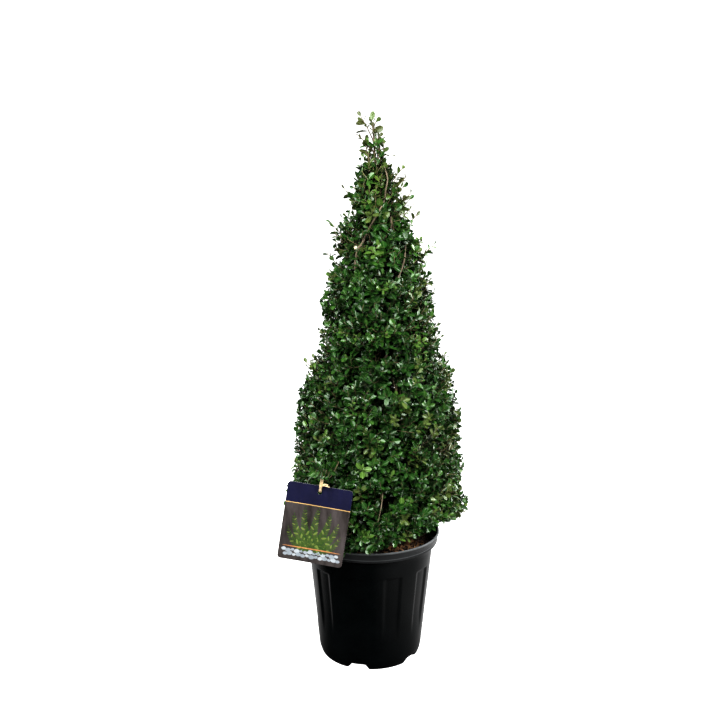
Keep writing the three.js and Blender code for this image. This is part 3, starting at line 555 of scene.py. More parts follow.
def fill(tree, node, inputs):
    """Fills each named input of a node by a value, or links it from a socket."""
    for name, value in inputs.items():
        if isinstance(value, bpy.types.NodeSocket):
            tree.links.new(value, node.inputs[name])
        else:
            node.inputs[name].default_value = value
    return node


def put(tree, kind, inputs=None, **settings):
    """Adds a node with its settings and inputs."""
    made = tree.nodes.new(kind)
    for name, value in settings.items():
        setattr(made, name, value)
    return fill(tree, made, inputs or {})


def mixed(tree, factor, first, second):
    """A blend of two colours, each a socket or a colour."""
    return put(tree, "ShaderNodeMix", {0: factor, 6: first, 7: second}, data_type="RGBA").outputs[2]


def ranged(tree, value, low, high, to_low=0.0, to_high=1.0):
    """A value moved from one span to another and kept within it."""
    spans = {"From Min": low, "From Max": high, "To Min": to_low, "To Max": to_high}
    return put(tree, "ShaderNodeMapRange", {"Value": value, **spans}).outputs["Result"]


def reckoned(tree, operation, *values):
    """The result of a Math node."""
    return put(tree, "ShaderNodeMath", dict(enumerate(values)), operation=operation).outputs[0]


def clouded(tree, place, scale, detail, roughness=0.5):
    """A noise over the surface."""
    inputs = {"Vector": place, "Scale": scale, "Detail": detail, "Roughness": roughness}
    return put(tree, "ShaderNodeTexNoise", inputs).outputs["Fac"]


def axes_of(tree, vector):
    return put(tree, "ShaderNodeSeparateXYZ", {"Vector": vector}).outputs


def object_place(tree):
    return put(tree, "ShaderNodeTexCoord").outputs["Object"]


def rgb(red, green, blue):
    return (red, green, blue, 1.0)


def new_finish_group(name, inputs):
    """A node group that puts out a finish: the group, what it is given, and its output node."""
    group = bpy.data.node_groups.new(name, "ShaderNodeTree")
    for label, kind in inputs.items():
        group.interface.new_socket(label, in_out="INPUT", socket_type=f"NodeSocket{kind}")
    for label, kind in (("Color", "Color"), ("Roughness", "Float"), ("Height", "Float")):
        group.interface.new_socket(label, in_out="OUTPUT", socket_type=f"NodeSocket{kind}")
    return group, group.nodes.new("NodeGroupInput").outputs, group.nodes.new("NodeGroupOutput")


def make_mottle_group():
    """Uneven colour, gloss and relief from two sizes of noise."""
    inputs = {"Vector": "Vector", "Scale": "Float", "Dark": "Color", "Light": "Color"}
    group, given, out = new_finish_group("mottle", {**inputs, "Smoothest": "Float", "Roughest": "Float"})
    broad = clouded(group, given["Vector"], given["Scale"], 6.0, 0.62)
    finer = clouded(group, given["Vector"], reckoned(group, "MULTIPLY", given["Scale"], 7.0), 3.0)
    finish = {
        "Color": mixed(group, ranged(group, broad, 0.3, 0.7), given["Dark"], given["Light"]),
        "Roughness": ranged(group, finer, 0.3, 0.7, given["Smoothest"], given["Roughest"]),
        "Height": reckoned(group, "ADD", broad, finer),
    }
    fill(group, out, finish)
    return group


def make_blade_group():
    """A leaf's blade: a pale midrib on an uneven green, from the leaf's own map of across and along."""
    inputs = {"Blade map": "Vector", "Place": "Vector", "Green": "Color", "Paler": "Color", "Rib": "Color"}
    group, given, out = new_finish_group("leaf_blade", inputs)
    patches = clouded(group, given["Place"], PATCH_SCALE, 2.0)
    green = mixed(group, ranged(group, patches, 0.35, 0.65), given["Green"], given["Paler"])
    across = reckoned(group, "SUBTRACT", axes_of(group, given["Blade map"])["X"], 0.5)
    rib = ranged(group, reckoned(group, "ABSOLUTE", across), *RIB_EDGES, RIB_STRENGTH, 0.0)
    finish = {
        "Color": mixed(group, rib, green, given["Rib"]),
        "Roughness": ranged(group, patches, 0.3, 0.7, *LEAF_ROUGHNESS),
        "Height": rib,
    }
    fill(group, out, finish)
    return group


MOTTLE = make_mottle_group()
BLADE = make_blade_group()


def new_material(name):
    """An empty material with its tree and shader."""
    material = bpy.data.materials.new(name)
    material.use_nodes = True
    tree = material.node_tree
    tree.nodes.clear()
    shader = tree.nodes.new("ShaderNodeBsdfPrincipled")
    put(tree, "ShaderNodeOutputMaterial", {"Surface": shader.outputs["BSDF"]})
    return material, tree, shader


def add_mottle(tree, place, dark, light, scale, smoothest, roughest):
    """The mottle placed in a material, with its own values."""
    inputs = {"Vector": place, "Scale": scale, "Dark": rgb(*dark), "Light": rgb(*light)}
    gloss = {"Smoothest": smoothest, "Roughest": roughest}
    return put(tree, "ShaderNodeGroup", {**inputs, **gloss}, node_tree=MOTTLE).outputs


def join_finish(tree, shader, colour, roughness, height, strength, relief):
    """Feeds the shader with a finish, its height as a bump."""
    bump = put(tree, "ShaderNodeBump", {"Height": height, "Strength": strength, "Distance": relief})
    fill(tree, shader, {"Base Color": colour, "Roughness": roughness, "Normal": bump.outputs["Normal"]})


def mottled_material(name, dark, light, scale, smoothest, roughest, relief, stretch=(1, 1, 1)):
    """A finish of uneven colour and gloss over a fine relief, in Object coordinates."""
    material, tree, shader = new_material(name)
    place = put(tree, "ShaderNodeMapping", {"Vector": object_place(tree), "Scale": stretch})
    mottle = add_mottle(tree, place.outputs["Vector"], dark, light, scale, smoothest, roughest)
    join_finish(tree, shader, mottle["Color"], mottle["Roughness"], mottle["Height"], FINISH_BUMP, relief)
    return material


def pot_plastic_material():
    """Glossy black plastic, scuffed matt over the rim's band and greyer there, partly as wear and partly as
    painted sheen, with painted highlights along the band's ledge and top edge.
    """
    material, tree, shader = new_material("black_plastic")
    place = object_place(tree)
    mottle = add_mottle(tree, place, *PLASTIC_MOTTLE)
    height = axes_of(tree, place)["Z"]
    on_rim = ranged(tree, height, BAND_HEIGHT - RIM_BLUR, BAND_HEIGHT + RIM_BLUR)
    # Painted sheen and highlights: the band's grey by height, lighter at its ledge and top edge
    wear_and_highlights = put(tree, "ShaderNodeValToRGB", {"Fac": ranged(tree, height, BAND_HEIGHT, POT_HEIGHT)})
    stops = wear_and_highlights.color_ramp.elements
    for at, shade in RIM_WEAR_AND_HIGHLIGHTS:
        stop = stops[0] if at == 0 else stops[-1] if at == 1 else stops.new(at)
        stop.color = rgb(*(shade * RIM_HUE))
    colour = mixed(tree, on_rim, mottle["Color"], wear_and_highlights.outputs["Color"])
    gloss = ranged(tree, on_rim, 0.0, 1.0, mottle["Roughness"], RIM_ROUGHNESS)
    join_finish(tree, shader, colour, gloss, mottle["Height"], FINISH_BUMP, PLASTIC_RELIEF)
    shader.inputs["Specular IOR Level"].default_value = PLASTIC_SPECULAR
    return material


def towards(first, second, share):
    """A colour moved a share of the way to another."""
    return rgb(*((1 - share) * a + share * b for a, b in zip(first, second)))


def leaf_material(name, green, paler):
    """A glossy blade with a paler midrib and underside."""
    material, tree, shader = new_material(name)
    inputs = {
        "Blade map": put(tree, "ShaderNodeUVMap", uv_map="blade").outputs["UV"],
        "Place": object_place(tree),
        "Green": rgb(*green),
        "Paler": rgb(*paler),
        "Rib": towards(paler, RIB_TINT, RIB_SHARE),
    }
    blade = put(tree, "ShaderNodeGroup", inputs, node_tree=BLADE).outputs
    underside = towards(paler, UNDERSIDE_TINT, UNDERSIDE_SHARE)
    is_under = put(tree, "ShaderNodeNewGeometry").outputs["Backfacing"]
    colour = mixed(tree, is_under, blade["Color"], underside)
    join_finish(tree, shader, colour, blade["Roughness"], blade["Height"], LEAF_BUMP, LEAF_RELIEF)
    fill(tree, shader, {"Specular IOR Level": LEAF_SPECULAR, "Specular Tint": rgb(*LEAF_SPECULAR_TINT)})
    return material


# Pieces

def settle(obj, nodes):
    """Puts a finished piece on the plant's body, in place of its solids."""
    bpy.context.scene.collection.objects.link(obj)
    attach(obj, "root")
    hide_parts(*nodes)
    return obj


def piece_from(bm, name, materials, nodes, sharp=math.radians(38)):
    """Makes a finished bmesh a piece, smooth but for its sharp edges."""
    for face in bm.faces:
        face.smooth = True
    for edge in bm.edges:
        edge.smooth = len(edge.link_faces) == 2 and edge.calc_face_angle() < sharp
    mesh = bpy.data.meshes.new(name)
    bm.to_mesh(mesh)
    bm.free()
    for material in materials:
        mesh.materials.append(material)
    return settle(bpy.data.objects.new(name, mesh), nodes)


def crease_midribs(mesh):
    """Marks each leaf's midrib sharp, so that its two halves take the light apart."""
    ends = np.empty(2 * len(mesh.edges), np.int32)
    mesh.edges.foreach_get("vertices", ends)
    place = ends.reshape(-1, 2) % LEAF_POINTS
    on_rib = (place % 3 == 2) | (place == 0) | (place == LEAF_POINTS - 1)
    mesh.edges.foreach_set("use_edge_sharp", on_rib.all(axis=1))


def joined_piece(name, points, triangles, material, slot, nodes, blade_map=None, smooth=True):
    """Many small things as one mesh, from arrays of points and triangles."""
    mesh = bpy.data.meshes.new(name)
    mesh.vertices.add(len(points))
    mesh.vertices.foreach_set("co", np.ascontiguousarray(points, np.float32).ravel())
    mesh.loops.add(triangles.size)
    mesh.loops.foreach_set("vertex_index", np.ascontiguousarray(triangles, np.int32).ravel())
    mesh.polygons.add(len(triangles))
    mesh.polygons.foreach_set("loop_start", np.arange(0, triangles.size, 3, dtype=np.int32))
    mesh.polygons.foreach_set("use_smooth", np.full(len(triangles), smooth))
    if blade_map is not None:
        layer = mesh.uv_layers.new(name="blade")
        layer.data.foreach_set("uv", np.ascontiguousarray(blade_map[triangles.ravel()], np.float32).ravel())
    mesh.update(calc_edges=True)
    mesh.validate()
    if blade_map is not None:
        crease_midribs(mesh)
    mesh.materials.append(material)
    return settle(bpy.data.objects.new(name, mesh), nodes)


def smooth_step(value, low, high):
    t = min(max((value - low) / (high - low), 0.0), 1.0)
    return t * t * (3 - 2 * t)


def stepped(radius, height, steps):
    """Points of a section, stepped outwards and up from a corner."""
    return [(radius + out, height + up) for out, up in steps]


def spun(section, columns):
    """A bmesh of a section, as radius and height, spun round the pot's axis."""
    bm = bmesh.new()
    line = [bm.verts.new((r, 0, z)) for r, z in section]
    edges = [bm.edges.new(pair) for pair in zip(line, line[1:])]
    bmesh.ops.spin(
        bm, geom=line + edges, cent=(0, 0, 0), axis=UP, angle=FULL_TURN, steps=columns, use_merge=True
    )
    bmesh.ops.remove_doubles(bm, verts=bm.verts, dist=SAME_POINT)
    return bm


# Pot

def wall_radius(z):
    share = (z - WALL_LOW_HEIGHT) / (BAND_HEIGHT - WALL_LOW_HEIGHT)
    return WALL_LOW_RADIUS + share * (COLLAR_RADIUS - WALL_LOW_RADIUS)


def pot_section():
    """The wall, from the underside's middle out and up, over the rolled rim and down the inside."""
    levels = np.unique(np.concatenate([np.linspace(*row) for row in WALL_ROWS]))
    outside = [(wall_radius(z), z) for z in levels]
    inside = [(r - WALL, z) for r, z in reversed(outside)]
    floor = FLOOR_UNDERSIDE + WALL
    return [
        (0, 0),
        *stepped(CENTRE_FOOT_RADIUS, 0, CENTRE_FOOT_CURVE),
        *stepped(FOOT_RADIUS - FOOT_RING, 0, FOOT_RING_CURVE),
        *stepped(FOOT_RADIUS, 0, FOOT_CURVE),
        *outside,
        *stepped(COLLAR_RADIUS, BAND_HEIGHT, COLLAR_CURVE),
        *stepped(RIM_RADIUS, BAND_HEIGHT, RIM_LOW_CURVE),
        *stepped(RIM_RADIUS, POT_HEIGHT, RIM_TOP_CURVE),
        *stepped(RIM_RADIUS, BAND_HEIGHT, RIM_INSIDE_CURVE),
        *inside,
        (FOOT_RADIUS + FLOOR_REACH, floor),
        (0, floor),
    ]


def from_nearest(angle, first, count):
    """How far an angle lies from the nearest of evenly spaced ones."""
    share = FULL_TURN / count
    return abs((angle - first + share / 2) % share - share / 2)


def flute_depth(angle, z):
    off = from_nearest(angle, FIRST_FLUTE, FLUTES)
    across = 1 - smooth_step(off, FLUTE_HALF_WIDTH - FLUTE_EDGE, FLUTE_HALF_WIDTH)
    top = 1 - smooth_step(z, FLUTE_TOP - FLUTE_RAMP_TOP, FLUTE_TOP)
    bottom = smooth_step(z, FLUTE_BOTTOM, FLUTE_BOTTOM + FLUTE_RAMP_BOTTOM)
    return FLUTE_DEPTH * across * top * bottom


def notch_rise(angle):
    off = from_nearest(angle, FIRST_FLUTE, NOTCHES)
    return NOTCH_HEIGHT * (1 - smooth_step(off, NOTCH_HALF_WIDTH - NOTCH_SLOPE, NOTCH_HALF_WIDTH))


def make_pot(plastic):
    bm = spun(pot_section(), POT_COLUMNS)
    for vert in bm.verts:
        radius = math.hypot(vert.co.x, vert.co.y)
        angle = math.atan2(vert.co.x, -vert.co.y)
        if FLUTE_BOTTOM < vert.co.z < FLUTE_TOP and radius > WALL_LOW_RADIUS - WALL:
            share = 1 - flute_depth(angle, vert.co.z) / radius
            vert.co.x *= share
            vert.co.y *= share
        if vert.co.z < FLOOR_UNDERSIDE and radius > FOOT_RADIUS - FOOT_RING - FOOT_RING_MARGIN:
            rise = notch_rise(angle)
            vert.co.z = rise + vert.co.z * (1 - rise / FLOOR_UNDERSIDE)
    bmesh.ops.recalc_face_normals(bm, faces=bm.faces)
    return piece_from(bm, "pot_shell", [plastic], ["pot"])


# Potting soil

def soil_height(x, y):
    """The soil's surface: a low dome with lumps, calm near the stem."""
    away = math.hypot(x, y)
    dome = SOIL_TOP - SOIL_EDGE_DROP * (away / SOIL_RADIUS) ** 2
    lumps = sum(
        height * noise.fractal(Vector((x * scale, y * scale, seed)), *roughness)
        for scale, seed, height, roughness in SOIL_LUMPS
    )
    return dome + smooth_step(away, *SOIL_CALM) * lumps


def make_soil(soil):
    section = [(r, SOIL_TOP) for r in np.linspace(0, SOIL_RADIUS, SOIL_RINGS)]
    bm = spun(section + stepped(SOIL_RADIUS, SOIL_TOP, SOIL_SIDE), SOIL_COLUMNS)
    bmesh.ops.recalc_face_normals(bm, faces=bm.faces)
    for vert in bm.verts:
        if vert.co.z > SOIL_TOP - SOIL_EDGE_DROP:
            vert.co.z = soil_height(vert.co.x, vert.co.y)
    return piece_from(bm, "soil_bed", [soil], ["soil"], sharp=SOIL_SHARP)


def random_turns(count):
    """Evenly random rotations, as matrices."""
    quaternions = random.normal(size=(4, count))
    w, x, y, z = quaternions / np.linalg.norm(quaternions, axis=0)
    rows = [
        [1 - 2 * (y * y + z * z), 2 * (x * y - w * z), 2 * (x * z + w * y)],
        [2 * (x * y + w * z), 1 - 2 * (x * x + z * z), 2 * (y * z - w * x)],
        [2 * (x * z - w * y), 2 * (y * z + w * x), 1 - 2 * (x * x + y * y)],
    ]
    return np.moveaxis(np.array(rows), -1, 0)


def on_soil(x, y, lift=0.0):
    return np.stack([x, y, [soil_height(*spot) + lift for spot in zip(x, y)]], -1)


def make_crumbs(chip):
    """Bark chips and crumbs of soil, each a flattened eight-faced lump."""
    corners = np.array([(1, 0, 0), (-1, 0, 0), (0, 1, 0), (0, -1, 0), (0, 0, 1), (0, 0, -1)], float)
    upper = [(0, 2, 4), (2, 1, 4), (1, 3, 4), (3, 0, 4)]
    lower = [(2, 0, 5), (1, 2, 5), (3, 1, 5), (0, 3, 5)]
    size = random.uniform(*CRUMB_SIZES, (CRUMBS, 1, 1)) * random.uniform(*CRUMB_STRETCH, (CRUMBS, 1, 3))
    lumps = np.einsum("nij,nkj->nki", random_turns(CRUMBS), corners * size)
    radius = np.sqrt(random.uniform(CRUMB_STEM_ROOM**2, (SOIL_RADIUS - CRUMB_EDGE_ROOM) ** 2, CRUMBS))
    angle = random.uniform(0, FULL_TURN, CRUMBS)
    points = lumps + on_soil(radius * np.sin(angle), radius * np.cos(angle))[:, None]
    triangles = np.array(upper + lower) + np.arange(CRUMBS)[:, None, None] * len(corners)
    return joined_piece(
        "soil_crumbs", points.reshape(-1, 3), triangles.reshape(-1, 3), chip, "soil", ["soil"], smooth=False
    )


# Lines and limbs of the plant

def smooth_line(points, count):
    """A smooth line of count points through the given ones."""
    points = np.asarray(points, float)
    padded = np.vstack([points[:1], points, points[-1:]])
    at = np.linspace(0, len(points) - 1, count)
    left = np.minimum(at.astype(int), len(points) - 2)
    t = (at - left)[:, None]
    before, start, end, after = (padded[left + k] for k in range(4))
    leave, arrive = (end - before) / 2, (after - start) / 2
    cubic = 2 * start - 2 * end + leave + arrive
    square = 3 * end - 3 * start - 2 * leave - arrive
    return ((cubic * t + square) * t + leave) * t + start


def unit(vectors):
    return vectors / np.maximum(np.linalg.norm(vectors, axis=-1, keepdims=True), 1e-9)


def bend_line(root, bend, tip, t):
    """Points of quadratic curves, one curve for each row, at the shares t."""
    root, bend, tip = root[..., None, :], bend[..., None, :], tip[..., None, :]
    t = t[..., None]
    return (1 - t) ** 2 * root + 2 * t * (1 - t) * bend + t**2 * tip


def bend_lines(root, bend, tip, rings):
    """The same curves from end to end."""
    return bend_line(root, bend, tip, np.broadcast_to(np.linspace(0, 1, rings), (len(tip), rings)))


TRUNK = smooth_line(TRUNK_LINE, LINE_SAMPLES)


def trunk_radius(z):
    above = z - SOIL_TOP
    share = np.clip(above / (TRUNK_LINE[-1][2] - SOIL_TOP), 0, 1)
    taper = TRUNK_RADIUS + (TRUNK_TIP_RADIUS - TRUNK_RADIUS) * share**TRUNK_TAPER_POWER
    return taper + (TRUNK_FLARE - TRUNK_RADIUS) * np.exp(-FLARE_FALL * above / FLARE_HEIGHT)


def trunk_point(z):
    return np.stack([np.interp(z, TRUNK[:, 2], TRUNK[:, k]) for k in range(3)], -1)


def limb_into(bm, line, radii, sides, relief):
    """A tapering limb with its bark's relief: a grid wrapped round a line, closed at both ends."""
    line = np.vstack([line[:1], line, line[-1:]])
    rings = len(line)
    radii = np.concatenate([[0], np.broadcast_to(radii, rings - 2), [0]])
    before = set(bm.verts)
    bmesh.ops.create_grid(bm, x_segments=sides, y_segments=rings - 1, size=0.5)
    fresh = [v for v in bm.verts if v not in before]
    along = unit(np.gradient(line, axis=0))
    side = unit(np.cross(along, LIMB_GUIDE))
    other = np.cross(along, side)
    for vert in fresh:
        ring = min(round((vert.co.y + 0.5) * (rings - 1)), rings - 1)
        turn = (vert.co.x + 0.5) * FULL_TURN
        across, away = math.cos(turn), math.sin(turn)
        spot = Vector((across * BARK_FURROWS, away * BARK_FURROWS, line[ring][2] * BARK_GRAIN))
        radius = radii[ring] * (1 + relief * noise.fractal(spot, *BARK_NOISE))
        vert.co = Vector(line[ring] + radius * (across * side[ring] + away * other[ring]))
    bmesh.ops.remove_doubles(bm, verts=fresh, dist=LIMB_SEAM)


def limbs_piece(bm, name, materials, nodes):
    """Finished limbs as one smooth piece."""
    bmesh.ops.recalc_face_normals(bm, faces=bm.faces)
    return piece_from(bm, name, materials, nodes, sharp=math.pi)


# The crown's outer shape

CROWN_LINE = smooth_line(CROWN_PROFILE, LINE_SAMPLES + 1)


def crown_radius(z):
    return np.interp(z, CROWN_LINE[:, 1], CROWN_LINE[:, 0])


def crown_axis(z):
    sideways, height = np.array(CROWN_AXIS).T
    return np.stack([np.interp(z, height, sideways), 0 * z, z], -1)


def outward(angle):
    return np.stack([np.sin(angle), -np.cos(angle), 0 * angle], -1)


def crown_sites(count):
    """Angles and heights spread evenly over the crown on a golden spiral, from the skirt to the top."""
    radius, height = CROWN_LINE.T
    area = (radius[1:] + radius[:-1]) / 2 * np.hypot(np.diff(radius), np.diff(height))
    passed = np.concatenate([[0], np.cumsum(area)]) / area.sum()
    shares = (np.arange(count) + 0.5) / count
    return np.arange(count) * GOLDEN_ANGLE, np.interp(shares, passed, height)


def skirt_lift(angle):
    """How far the skirt's edge is lifted there."""
    off = np.abs(np.angle(np.exp(1j * (angle - LIFT_ANGLE))))
    return SKIRT_LIFT * np.cos(np.minimum(off * LIFT_NARROWNESS, math.pi / 2)) ** 2


def lifted(angle, z):
    """A height on the crown after the skirt's lift, which fades out upwards."""
    return z + skirt_lift(angle) * np.clip(1 - (z - CROWN_BOTTOM) / LIFT_FADE, 0, 1)


def crown_floor(points):
    """The lowest that a leaf may hang there."""
    away = points - crown_axis(points[:, 2])
    return CROWN_BOTTOM + skirt_lift(np.arctan2(away[:, 0], -away[:, 1])) - CROWN_FLOOR_SLACK


def over_crown(angle, z, around, along, value):
    """A noise's values over the crown, at its scales around and along it."""
    spots = np.stack([np.sin(angle) * around, np.cos(angle) * around, z * along], -1)
    return np.array([value(Vector(spot)) for spot in spots])


def gaps(angle, z):
    """Small uneven openings between the tufts."""
    return over_crown(angle, z, *GAP_SCALE, noise.noise)


def tufted(angle, z):
    """How far the clipped surface swells in and out in tufts."""
    return over_crown(angle, z, *TUFT_SCALE, lambda spot: noise.fractal(spot, *TUFT_NOISE))


# Trunk and boughs

MASS_ANGLE, SITE_HEIGHT = crown_sites(MASSES)
MASS_HEIGHT = np.maximum(SITE_HEIGHT, LOWEST_CENTRE)
MASS_RADIUS = crown_radius(MASS_HEIGHT)
MASS_REACH = (MASS_RADIUS - BOUGH_SHORTER) * BOUGH_REACH_SHARE
MASS_CORE = MASS_RADIUS - np.minimum(CORE_INSET, CORE_INSET_SHARE * MASS_RADIUS)
MASS_CENTRE = crown_axis(MASS_HEIGHT) + outward(MASS_ANGLE) * ((MASS_REACH + MASS_CORE) / 2)[:, None]
BOUGH_TIP = crown_axis(MASS_HEIGHT) + outward(MASS_ANGLE) * MASS_REACH[:, None]
BOUGH_TIP[:, 2] -= MASS_REACH * BOUGH_TIP_DROP
BOUGH_SEAT = BOUGH_TIP[:, 2] - MASS_REACH * BOUGH_RISE_SHARE - BOUGH_RISE
BOUGH_ROOT = trunk_point(np.maximum(BOUGH_SEAT, LOWEST_BOUGH + BOUGH_STEP * np.arange(MASSES)))
BOUGH_HEADING = unit(MASS_CENTRE - BOUGH_TIP)
BOUGH_SPAN = np.linalg.norm(BOUGH_TIP - BOUGH_ROOT, axis=1)[:, None]
BOUGH_BEND = BOUGH_TIP - BOUGH_HEADING * BOUGH_BEND_SHARE * BOUGH_SPAN
BOUGH_RADIUS = BOUGH_THINNEST + BOUGH_RADIUS_SHARE * trunk_radius(BOUGH_ROOT[:, 2])


def own_mass(points):
    """The mass whose space each point lies in: the one with the nearest centre."""
    return np.argmin(np.linalg.norm(points[:, None] - MASS_CENTRE[None], axis=2), axis=1)


def make_trunk(bark):
    bm = bmesh.new()
    z = np.linspace(TRUNK_LINE[0][2], TRUNK_LINE[-1][2], TRUNK_RINGS)
    limb_into(bm, trunk_point(z), trunk_radius(z), TRUNK_SIDES, TRUNK_RELIEF)
    return limbs_piece(bm, "trunk_bark", [bark], ["trunk"])


def make_boughs(bark):
    bm = bmesh.new()
    t = np.linspace(0, 1, BOUGH_RINGS)
    for root, bend, tip, radius in zip(BOUGH_ROOT, BOUGH_BEND, BOUGH_TIP, BOUGH_RADIUS):
        radii = radius * (1 - BOUGH_TAPER * t)
        limb_into(bm, bend_line(root, bend, tip, t), radii, BOUGH_SIDES, BOUGH_RELIEF)
    return limbs_piece(bm, "bough_bark", [bark], BOUGH_NODES)


def make_open_stems(bark, cut_wood):
    """The pale stems that show through the open top, the pruned stub, and a dead twig lower down."""
    bm = bmesh.new()
    for line, radius, taper in OPEN_STEMS:
        rings = OPEN_STEM_RINGS * len(line)
        radii = radius * (1 - taper * np.linspace(0, 1, rings))
        limb_into(bm, smooth_line(line, rings), radii, OPEN_STEM_SIDES, OPEN_STEM_RELIEF)
    for face in bm.faces:
        if (face.calc_center_median() - Vector(STUB[-1])).length < CUT_END:
            face.material_index = 1
    return limbs_piece(bm, "open_stems", [bark, cut_wood], FOLIAGE_NODES)


# Twigs and leaves as arrays

def tubes(lines, radii, sides):
    """Round twigs along many lines (n, rings, 3), closed at both ends, as points and triangles."""
    count, rings, _ = lines.shape
    along = unit(lines[:, -1] - lines[:, 0])
    guide = np.where(np.abs(along[:, 2:]) > 0.8, (1.0, 0.0, 0.0), UP)
    side = unit(np.cross(along, guide))
    other = np.cross(along, side)
    turn = np.arange(sides) * FULL_TURN / sides
    ring = side[:, None] * np.cos(turn)[None, :, None] + other[:, None] * np.sin(turn)[None, :, None]
    skin = lines[:, :, None] + radii[:, :, None, None] * ring[:, None]
    points = np.concatenate([skin.reshape(count, -1, 3), lines[:, :1], lines[:, -1:]], axis=1)
    corner = np.arange(sides)
    following = (corner + 1) % sides
    step = np.arange(rings - 1)[:, None] * sides
    low, next_low = (step + corner).ravel(), (step + following).ravel()
    root, tip, last = rings * sides, rings * sides + 1, (rings - 1) * sides
    triangles = np.concatenate(
        [
            np.stack([low, next_low, next_low + sides], -1),
            np.stack([low, next_low + sides, low + sides], -1),
            np.stack([np.full(sides, root), following, corner], -1),
            np.stack([np.full(sides, tip), last + corner, last + following], -1),
        ]
    )
    every = triangles[None] + (np.arange(count) * points.shape[1])[:, None, None]
    return points.reshape(-1, 3), every.reshape(-1, 3)


def joined(made):
    """Several lots of points and triangles as one."""
    offsets = np.cumsum([0] + [len(points) for points, _ in made])
    points = np.concatenate([points for points, _ in made])
    return points, np.concatenate([faces + offset for (_, faces), offset in zip(made, offsets)])


def blades(root, along, face, length, width):
    """Leaf blades, folded along the midrib and curled at the tip, with the map of each."""
    side = unit(np.cross(along, face))
    normal = np.cross(side, along)
    shape = [(0.0, 0.0)]
    for share, half in LEAF_ROWS:
        shape += [(share, -half), (share, 0.0), (share, half)]
    shape = np.array(shape + [(1.0, 0.0)])
    share, across = shape[None, :, :1], shape[None, :, 1:]
    half = (width / 2)[:, None, None]
    lift = LEAF_FOLD * half * np.abs(across) - LEAF_CURL * length[:, None, None] * share**2
    points = root[:, None] + along[:, None] * share * length[:, None, None] + side[:, None] * across * half
    points = points + normal[:, None] * lift
    triangles = [(0, 2, 1), (0, 3, 2)]
    for row in range(len(LEAF_ROWS) - 1):
        first = 1 + 3 * row
        for k in (first, first + 1):
            triangles += [(k, k + 1, k + 4), (k, k + 4, k + 3)]
    last = 1 + 3 * (len(LEAF_ROWS) - 1)
    triangles += [(last, last + 1, last + 3), (last + 1, last + 2, last + 3)]
    every = np.array(triangles)[None] + (np.arange(len(root)) * len(shape))[:, None, None]
    blade_map = np.tile(np.stack([shape[:, 1] / 2 + 0.5, shape[:, 0]], -1), (len(root), 1))
    return points.reshape(-1, 3), every.reshape(-1, 3), blade_map


def clear_of_tag(points):
    """Whether points keep out of the tag, its tie and the room in front."""
    turned = np.array(TAG_PLACE.inverted())
    x, y, z = (points @ turned[:3, :3].T + turned[:3, 3]).T
    at_sides, at_ends, behind = TAG_ROOM
    clear = (np.abs(x) > TAG_WIDTH / 2 + at_sides) | (np.abs(y) > TAG_HEIGHT / 2 + at_ends) | (z < -behind)
    at_knot = np.hypot(x, y - TAG_HEIGHT / 2 + KNOT_ROOM_BELOW) < TIE_WIDTH / 2
    return clear & ~(at_knot & (z > -KNOT_ROOM_BEHIND))


def clear_of_stems(points):
    """Whether points keep out of the line of sight to the open stems; a few don't."""
    clear = np.ones(len(points), bool)
    for *place, radius in STEM_WINDOWS:
        sight = unit(np.subtract(CAMERA_PLACE, place))
        before = (points - place) @ sight
        aside = np.linalg.norm(points - place - before[:, None] * sight, axis=1)
        clear &= (before < WINDOW_BACK) | (aside > radius)
    return clear | (random.uniform(size=len(points)) > CLEARING_SHARE)


class Growth:
    """Gathers what grows: branches, twigs, and leaves with the tint of each."""

    def __init__(self):
        self.branches = []
        self.twigs = []
        self.leaves = []

    @staticmethod
    def radii(lines, radius, taper):
        shares = np.linspace(0, 1, lines.shape[1])
        return np.broadcast_to(radius, len(lines))[:, None] * (1 - taper * shares)

    def add_branches(self, lines, radius, taper):
        self.branches.append(tubes(lines, self.radii(lines, radius, taper), BRANCH_SIDES))

    def add_twigs(self, lines, radius, taper):
        self.twigs.append(tubes(lines, self.radii(lines, radius, taper), TWIG_SIDES))

    def add_leaves(self, *leaves):
        self.leaves.append(leaves)


